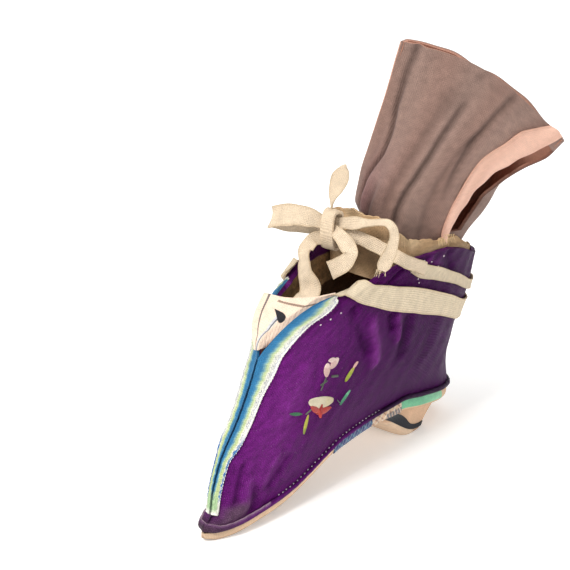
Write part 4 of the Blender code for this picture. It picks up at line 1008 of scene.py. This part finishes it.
# %% Heel leaf
# Upper edge and lower edge along the heel: back from the toe and up, in millimetres
LEAF_ROWS = (
    (86.8, 12.2, 86.8, 12.0), (88.2, 13.2, 88.6, 11.0), (91.3, 12.9, 91.0, 9.6), (94.9, 11.2, 93.9, 7.6),
    (98.0, 8.6, 97.2, 5.2), (101.2, 5.2, 100.8, 3.0), (104.9, 3.4, 104.6, 1.7), (109.6, 2.7, 109.6, 1.1),
)


def leaf_part(side):
    rows = along_rows(LEAF_ROWS, np.linspace(0, len(LEAF_ROWS) - 1, 60))[:, None]
    parts = np.linspace(0, 1, 10)[None, :, None]
    flat = rows[..., :2] * (1 - parts) + rows[..., 2:] * parts
    y, z = flat[..., 0] * MM, flat[..., 1] * MM
    height = np.clip(z / heel_seat(y), 0, 1)
    front, back = heel_line(height)
    run = np.clip(np.abs((y - (front + back) / 2) / ((back - front) / 2)), 0, 0.995)
    x = (HEEL_HALF_WIDTH + HEEL_FLARE * height) * np.sqrt(1 - run ** (2 / 0.6)) ** 0.45
    outer, inner = (np.stack((side * (x + lift * MM), y, z), -1) for lift in (0.42, -0.15))
    dye = dyed(flat.shape[:2], "#23242b", ("#565b60", 0.5 * np.clip((flat[..., 1] - 9) / 4, 0, 1)))
    return shell(outer, inner, threads_of(flat[..., 0], flat[..., 1]), dye)


for side, word in ((1, "left"), (-1, "right")):
    add_cloth("heel_leaf_" + word, leaf_part(side), dark_cloth, "sole_cotton")

# %% [markdown]
# Inside lies a thin cotton insole, glued on the sole and a little uneven where feet have pressed it.

# %% Insole
def insole_part():
    y = (np.linspace(0.075, 0.96, 90) * SOLE_LENGTH)[:, None]
    parts = np.linspace(-1, 1, 21)[None]
    half = sole(WIDTH, y) - (UPPER_WALL - SEWN_MARGIN + CLEARANCE * 2)
    base = sole(TOP, y) + CLEARANCE
    dip = 0.15 * MM * np.sin(parts * 5) * np.sin(y / MM * 0.5)
    outer, inner = (np.stack(np.broadcast_arrays(half * parts, y, z), -1) for z in (base + 1.0 * MM + dip, base))
    return shell(outer, inner, outer / MM, dyed(outer.shape[:2], "#cbb292"))


add_cloth("cotton_insole", insole_part(), cream_cotton, "insert_cotton", "insole")

# %% [markdown]
# In the throat a cream cotton panel fills the V, with a small black leaf and two dark lines woven into it, and a
# thin painted shadow where the pull tape shades its top. Its near edge is tucked behind the silk at the same
# height, so that no gap shows beside the ribbon.

# %% Throat panel
# Share of the instep's height, then half width and reach of the left end and of the right end
INSERT_TABLE = (
    (0.83, 0.02, 0.545, -0.06, 0.500), (0.87, 0.08, 0.575, -0.26, 0.520), (0.91, 0.20, 0.625, -0.50, 0.560),
    (0.95, 0.36, 0.700, -0.72, 0.630), (0.98, 0.52, 0.790, -0.86, 0.700), (1.01, 0.68, 0.900, -0.92, 0.760),
)


def insert_rows():
    """Rows of the panel's front and back, from the tucked edge to the far side."""
    parts = np.linspace(0, 1, 110)
    edge_half, edge_along, edge_height = front_line(np.linspace(0.7, 1, 61))
    tuck_steps = np.linspace(0, 1, 11)[:-1, None]
    outer, inner = [], []
    for height, left, left_along, right, right_along in along_rows(INSERT_TABLE, np.linspace(0, 5, 110)):
        at = INSTEP_HEIGHT * height
        start = np.array((THROAT_HALF_WIDTH * left, THROAT_REACH * left_along, at))
        span = np.array((THROAT_HALF_WIDTH * right, THROAT_REACH * right_along, at)) - start
        forward = np.array((-span[1], span[0], 0.0)) / np.linalg.norm(span[:2])
        bulge = 0.14 * np.linalg.norm(span)
        wave = 0.12 * MM * np.sin(parts * 9 + height * 40)
        row = start + span * parts[:, None] + forward * (bulge * np.sin(math.pi * parts) + wave)[:, None]
        hidden = np.array((np.interp(at, edge_height, edge_half), np.interp(at, edge_height, edge_along), at))
        hidden += np.array((-0.5, 0.9, -0.2)) * MM
        row = np.concatenate((hidden + (row[0] - hidden) * tuck_steps, row))
        outer.append(row)
        inner.append(row - forward * 1.0 * MM)
    return np.array(outer), np.array(inner)


def insert_part():
    outer, inner = insert_rows()
    up = np.linspace(0, 1, 110)[:, None]
    part = np.concatenate((np.zeros(10), np.linspace(0, 1, 110)))[None]
    brocade = np.interp(up, (0, 0.10, 0.20, 0.40, 0.68), (0.90, 0.75, 0.60, 0.30, 0.28))
    line = np.interp(up, (0, 0.30, 0.68, 1.0), (0.93, 0.68, 0.80, 0.88))
    leaf_wide = 0.065 * np.sin(math.pi * np.clip(part / 0.57, 0, 1) ** 0.6)
    dye = dyed(
        outer.shape[:2], "#e6cdb8", ("#b9bcc2", 0.9 * (np.abs(part - brocade) < 0.075) * (up < 0.68)),
        ("#3f4148", 0.9 * (np.abs(part - brocade + 0.03) < 0.022) * (up < 0.66)),
        ("#45444c", 0.85 * (np.abs(part - line) < 0.022)),
        # A painted shadow: a thin brown line across the top, where the pull tape shades the panel
        ("#6d5648", 0.8 * (np.abs(up - 0.84 - 0.16 * part) < 0.018) * (part < 0.65)),
        ("#26262a", np.abs(up - 0.54 - 0.44 * part) < leaf_wide))
    return shell(outer, inner, outer / MM, dye)


add_cloth("throat_panel", insert_part(), cream_cotton, "insert_cotton", "vamp_insert")

# %% [markdown]
# The lining stands above the collar and closes in front of the ankle. It is old, worn and torn, so its top edge is
# uneven, with loose threads where it has given way. It stands inside the silk and then rises freely.

# %% Collar lining
LINING_FRONT = 89 * MM
# Place round the ring, from its front left corner, and how high its free edge stands there
LINING_RISES = (
    (0.00, 0.50), (0.10, 0.30), (0.20, 0.30), (0.30, 0.25), (0.38, 0.08), (0.45, 0.08), (0.55, 0.25), (0.68, 0.40),
    (0.76, 0.80), (0.84, 1.05), (0.92, 1.00), (1.00, 0.50),
)
LINING_PLACES = np.concatenate((
    np.linspace(0, 0.379, 60), np.linspace(0.379, 0.7586, 60)[1:], np.linspace(0.7586, 1, 42)[1:-1]))


def lining_ring(level, rise, inset):
    front_along = float(front_line(level)[1])
    back_along = SOLE_LENGTH + BACK_LEAN * float(read(BACK_TABLE, 1, level))
    first = (LINING_FRONT - front_along) / (back_along - front_along)
    row = last_row(first + (1 - first) * np.linspace(0, 1, 60), level)
    along = np.gradient(row, axis=0)
    normal = np.stack((along[:, 1], -along[:, 0], np.zeros(len(along))), -1)
    normal /= np.linalg.norm(normal, axis=1)[:, None]
    normal[-1] = (0, 1, 0)
    left = row - (UPPER_WALL + 0.6 * MM + inset) * normal
    left[:, 0] = np.maximum(left[:, 0], 0)
    right = left[::-1][1:] * (-1, 1, 1)
    parts = np.linspace(0, 1, 42)[1:-1, None]
    bulge = (inset - 3 * MM) * np.sin(math.pi * parts) ** 0.7
    front = right[-1] + (left[0] - right[-1]) * parts + bulge * (0, 1, 0)
    ring = np.concatenate((left, right, front))
    lengths = travelled(ring)
    ring[:, 2] += 12 * MM * rise * np.interp(LINING_PLACES, *zip(*LINING_RISES))
    return ring, lengths


def lining_part():
    outer, inner, cloth = [], [], []
    place = LINING_PLACES
    for step in np.linspace(0, 1, 46):
        level = min(1.0, 0.80 + 0.4 * step)
        rise = max(0.0, (step - 0.5) / 0.5)
        ring, lengths = lining_ring(level, rise, 0.0)
        wave = 0.45 * MM * rise * (np.sin(place * 60 + 3 * rise) + 0.6 * np.sin(place * 131 + 5 * rise))
        torn = (0.35 * np.sin(place * 41) + 0.22 * np.sin(place * 97 + 1) + 0.16 * np.sin(place * 263)) * MM * rise**4
        shift = np.stack((wave * np.sin(place * 6), wave * np.cos(place * 6), torn), -1)
        outer.append(ring + shift)
        inner.append(lining_ring(level, rise, 0.8 * MM)[0] + shift)
        cloth.append(np.stack((lengths / MM, np.full(len(ring), step * 28), np.zeros(len(ring))), -1))
    outer, inner, cloth = np.array(outer), np.array(inner), np.array(cloth)
    up = np.linspace(0, 1, 46)[:, None]
    stain = 0.5 + 0.5 * np.sin(cloth[..., 0] * 0.33 + 2 * np.sin(up * 5))
    dye = dyed(outer.shape[:2], "#cfae88", ("#b08c64", 0.5 * stain), ("#dcc29a", 0.4 * (stain < 0.25) * up))
    # The inside face is the same cotton painted a fifth darker, as painted shade within the collar
    return shell(outer, inner, cloth, dye, dye * 0.8, closed=True)


add_cloth("torn_collar_lining", lining_part(), lining_cotton, "lining_cotton", "collar_lining")
loose = [fray(place, (0.2, -0.2, -1), (0.7, 0.7, 0), 9, 2.6, 3.2, seed, "#d2b488")
         for place, seed in (((19.8, 104.5, 76.5), 11), ((19.6, 108.5, 77.0), 12))]
add_cloth("lining_threads", join_parts(loose), lining_cotton, "lining_cotton")

# %% [markdown]
# The shaft is a cotton leg, grey outside and pink inside, slit at both sides and flopped to one side. It stands by
# its own stiffness. Five rails from foot to hem give its shape: both edges of the front panel and its middle, the
# back panel's near edge, called the lip, and its middle.

# %% Rails of the shaft
SHAFT_FRONT, SHAFT_DEPTH, SHAFT_BASE, SHAFT_HEIGHT = 92 * MM, 58 * MM, 64 * MM, 77 * MM
SHAFT_WALL = 1.2 * MM
# Shares of the ankle's half width across, of the shaft's depth back and of its height up
SHAFT_RAILS = {
    "far": (
        (-0.785, 0.28, 0.00), (-0.79, 0.24, 0.16), (-0.70, 0.14, 0.27), (-0.58, 0.13, 0.40), (-0.50, 0.17, 0.52),
        (-0.42, 0.21, 0.635), (-0.32, 0.24, 0.753), (-0.22, 0.267, 0.883), (-0.10, 0.276, 1.00),
    ),
    "front": (
        (0.00, 0.03, 0.03), (0.05, 0.02, 0.16), (0.10, 0.02, 0.26), (0.20, 0.05, 0.364), (0.35, 0.13, 0.468),
        (0.525, 0.24, 0.584), (0.70, 0.345, 0.685), (0.875, 0.448, 0.782), (1.05, 0.552, 0.880),
    ),
    "near": (
        (0.785, 0.28, 0.00), (0.80, 0.28, 0.14), (0.90, 0.29, 0.24), (1.00, 0.32, 0.325), (1.125, 0.37, 0.42),
        (1.30, 0.448, 0.51), (1.475, 0.552, 0.558), (1.675, 0.68, 0.61), (1.875, 0.83, 0.61),
    ),
    "lip": (
        (0.67, 0.41, -0.01), (0.70, 0.53, 0.09), (0.68, 0.67, 0.15), (0.625, 0.81, 0.188), (0.75, 0.88, 0.234),
        (0.95, 0.92, 0.286), (1.20, 0.966, 0.338), (1.475, 1.03, 0.383), (1.925, 0.983, 0.506),
    ),
    "back": (
        (0.00, 0.66, -0.06), (0.00, 0.84, 0.05), (0.05, 0.97, 0.10), (0.15, 1.017, 0.195), (0.25, 1.01, 0.312),
        (0.40, 1.00, 0.44), (0.525, 0.948, 0.571), (0.65, 0.862, 0.70), (0.875, 0.716, 0.825),
    ),
}
PANEL, BRIDGE, UPS = 110, 5, 130


def rail(name, up):
    """A place on a rail, up being a share of the way from foot to hem."""
    rows = SHAFT_RAILS[name]
    across, back, height = along_rows(rows, [up * (len(rows) - 1)])[0]
    return np.array((ANKLE_HALF_WIDTH * across, SHAFT_FRONT + SHAFT_DEPTH * back, SHAFT_BASE + SHAFT_HEIGHT * height))


def shaft_row(up):
    """One ring of the shaft: front panel, near bridge, back panel, far bridge."""
    far, front, near, lip, back = (rail(name, up) for name in ("far", "front", "near", "lip", "back"))
    far_behind = far + np.array((0.0, 3.2 * MM, 0.0))
    parts = np.linspace(0, 1, PANEL)[:, None]
    first = far + (near - far) * parts + (front - (far + near) / 2) * np.sin(math.pi * parts)
    second = lip + (far_behind - lip) * parts + (back - (lip + far_behind) / 2) * np.sin(math.pi * parts) ** 0.8
    bridge = np.linspace(0, 1, BRIDGE + 2)[1:-1, None]
    return np.concatenate((first, near + (lip - near) * bridge, second, far_behind + (far - far_behind) * bridge))


print("shaft rails", len(SHAFT_RAILS), "height mm", SHAFT_HEIGHT / MM)

# %% [markdown]
# Long soft creases run from the foot to the hem, as slack cloth falls. Each follows a line of its own across
# the front panel, fades at both ends and has a ridge beside it. The back panel only waves.

# %% Creases of the shaft
# Heights, places across, half width as a share across, depth in millimetres
SHAFT_CREASES = (
    ((0.28, 0.40, 0.52, 0.61, 0.72, 0.85, 1.06), (0.12, 0.143, 0.20, 0.175, 0.115, 0.097, 0.108), 0.026, -1.9),
    ((0.28, 0.50, 0.72, 1.06), (0.20, 0.27, 0.18, 0.17), 0.045, 0.7),
    ((0.20, 0.28, 0.48, 0.58, 0.69, 0.82), (0.64, 0.635, 0.635, 0.62, 0.587, 0.56), 0.032, -1.8),
    ((0.20, 0.48, 0.69, 0.82), (0.72, 0.71, 0.665, 0.63), 0.05, 0.8),
    ((0.42, 0.60, 0.72, 0.81, 0.98), (0.93, 0.87, 0.81, 0.794, 0.75), 0.028, -1.4),
    ((0.15, 0.40, 0.70), (0.86, 0.84, 0.80), 0.035, -0.9),
    ((0.15, 0.45, 0.90), (0.40, 0.37, 0.33), 0.08, 0.7),
    ((0.30, 0.55, 0.85), (0.50, 0.47, 0.43), 0.045, -0.8),
    ((0.80, 0.90, 1.06), (0.50, 0.52, 0.53), 0.04, -0.7),
    ((0.05, 0.20, 0.38), (0.28, 0.30, 0.33), 0.04, -0.8),
)


def shaft_relief(up):
    """How far a ring of the shaft stands out, in metres."""
    part = np.linspace(0, 1, PANEL)
    relief = np.zeros(2 * (PANEL + BRIDGE))
    front, back = relief[:PANEL], relief[PANEL + BRIDGE:2 * PANEL + BRIDGE]
    for heights, places, wide, deep in SHAFT_CREASES:
        fade = np.clip((up - heights[0] + 0.08) / 0.1, 0, 1) * np.clip((heights[-1] + 0.08 - up) / 0.1, 0, 1)
        front += deep * fade * np.exp(-((part - np.interp(up, heights, places)) / wide) ** 2)
    front += 0.18 * np.sin(part * 31 + 4 * up)
    back += 0.5 * np.sin(part * 14 + 3 * up) + 0.3 * np.sin(part * 27 - 5 * up)
    ends = np.tile(np.concatenate((np.minimum(1, 8 * np.minimum(part, 1 - part)), np.zeros(BRIDGE))), 2)
    hem = 0.25 * math.exp(-((up - 0.965) / 0.012) ** 2)
    return (relief * ends - hem * (ends > 0)) * MM


print("shaft creases", len(SHAFT_CREASES))

# %% [markdown]
# The two panels are sewn together only at the foot and by a tack at the hem, so the bridges between them are left
# out in between, which opens the slits.


def shaft_part():
    ups = np.linspace(0, 1, UPS)
    middle = np.array([shaft_row(up) for up in ups])
    normal = np.cross(np.roll(middle, -1, 1) - np.roll(middle, 1, 1), np.gradient(middle, axis=0))
    normal /= np.maximum(np.linalg.norm(normal, axis=-1, keepdims=True), 1e-12)
    relief = np.array([shaft_relief(up) for up in ups])
    outer = middle + normal * relief[..., None]
    inner = middle + normal * (relief - SHAFT_WALL)[..., None]
    columns = middle.shape[1]
    keep = np.ones((UPS - 1, columns), bool)
    slit = (ups[:-1] >= 0.14) & (ups[:-1] < 0.925)
    for column in (*range(PANEL - 1, PANEL + BRIDGE), *range(2 * PANEL + BRIDGE - 1, columns)):
        keep[slit, column] = False
    up = ups[:, None]
    across = np.linspace(0, 1, PANEL)
    part = np.concatenate((across, np.full(BRIDGE, 1.0), 3 - across, np.full(BRIDGE, 2.0)))[None]
    bloom = np.exp(-((part - 0.25) / 0.16) ** 2) * np.exp(-((up - 0.3) / 0.2) ** 2)
    # Outside: painted shade darkens the cotton down in each crease, as deep as the crease is
    outside = dyed(
        relief.shape, "#84695f", ("#855c62", 0.6 * bloom), ("#8f7b72", 0.35 * (0.5 + 0.5 * np.sin(part * 17 + up * 6))),
        ("#3f312e", 0.6 * np.clip(-relief / (1.7 * MM), 0, 1)), ("#d9a893", 0.9 * (np.arange(columns)[None] < 1)))
    # Inside: the pink lining is painted darker towards the foot, as painted shade deep in the leg
    inside = dyed(relief.shape, "#b98672", ("#7c5244", 0.8 * np.exp(-((up - 0.1) / 0.25) ** 2)))
    return shell(outer, inner, threads_of(travelled(middle, 1) / MM, up * 85), outside, inside, closed=True, keep=keep)


shaft = add_cloth("cotton_shaft", shaft_part(), mauve_cotton, "shaft_cotton", "shaft", inside=pink_cotton)

# %% [markdown]
# At the near slit the pink facing is turned back over the edge like a lapel. It is its own strip: it starts at
# the slit's front edge and reaches part of the way to the back edge, with its free edge a little lifted.

# %% Turned facing of the slit
def facing_part():
    ups, parts = np.linspace(0.10, 1.0, 90), np.linspace(0, 1, 22)
    out = np.array((1.0, -0.35, 0.25)) * MM
    outer, inner = [], []
    for up in ups:
        near, lip = rail("near", up), rail("lip", up)
        reach = np.interp(up, (0.1, 0.3, 0.5, 0.7, 1.0), (0.30, 0.40, 0.52, 0.62, 0.70)) + 0.02 * math.sin(up * 40)
        lift = (0.9 + 1.3 * np.sin(math.pi * parts) ** 0.8 + 0.25 * np.sin(parts * 9 + up * 17))[:, None]
        row = near + (lip - near) * reach * parts[:, None]
        outer.append(row + out * lift)
        inner.append(row + out * (lift - 0.8))
    part, up = parts[None], ups[:, None]
    # Painted shade: the facing is darker along the fold where it turns back over the edge
    dye = dyed((90, 22), "#dcb3a0", ("#b58875", 0.55 * np.clip(1 - part * 6, 0, 1)),
               ("#cb9f8c", 0.5 * (0.5 + 0.5 * np.sin(part * 7 + up * 9))))
    return shell(np.array(outer), np.array(inner), threads_of(part * 9, up * 85), dye)


add_cloth("slit_facing", facing_part(), pink_cotton, "shaft_cotton")

# %% [markdown]
# Two turns of tape hold the ankle. They lie on the silk and pass over the ribbons in front. A tape pulled tight
# has slightly raised edges and small puckers, so its section is a shallow trough.

# %% Ankle bands
# Share, level of the middle, half height as a share of the level, and lift over the ribbons
BAND_ROWS = {
    "lower": (
        (0.012, 0.985, 0.006, 1.0), (0.06, 0.975, 0.022, 1.0), (0.12, 0.955, 0.034, 1.0), (0.20, 0.905, 0.040, 0.6),
        (0.30, 0.846, 0.044, 0.0), (0.42, 0.789, 0.052, 0.0), (0.51, 0.757, 0.057, 0.0), (0.64, 0.705, 0.060, 0.0),
        (0.76, 0.670, 0.059, 0.0), (0.91, 0.641, 0.056, 0.0), (1.00, 0.640, 0.055, 0.0),
    ),
    "upper": (
        (0.42, 0.955, 0.034, 0.0), (0.52, 0.895, 0.038, 0.0), (0.60, 0.865, 0.036, 0.0), (0.75, 0.820, 0.031, 0.0),
        (0.91, 0.788, 0.030, 0.0), (1.00, 0.790, 0.030, 0.0),
    ),
}


def band_part(table):
    shares = np.linspace(table[0][0], 1, 150)[:, None]
    across = np.linspace(-1, 1, 13)[None]
    level, spread, lift = (read(table, column, shares) for column in (1, 2, 3))
    heights = np.minimum(1.0, level + spread * across)
    trough = 0.14 * across**4 + 0.06 * np.sin(shares * 70) * across**2
    outer, inner = (
        np.concatenate([on_upper(shares, heights, 1, out), on_upper(shares, heights, -1, out)[::-1][1:]])
        for out in ((0.55 + 0.95 * lift + depth + trough) * MM for depth in (0.62, 0.0)))
    dye = dyed(outer.shape[:2], "#d6c6ac", ("#b79a74", 0.45 * np.abs(across) ** 10))
    return shell(outer, inner, threads_of(across * 3.2, np.arange(len(outer))[:, None] * 0.8), dye)


for word, table in BAND_ROWS.items():
    add_cloth("tape_turn_" + word, band_part(table), tape_cotton, "cotton_tape", "ankle_band_" + word)
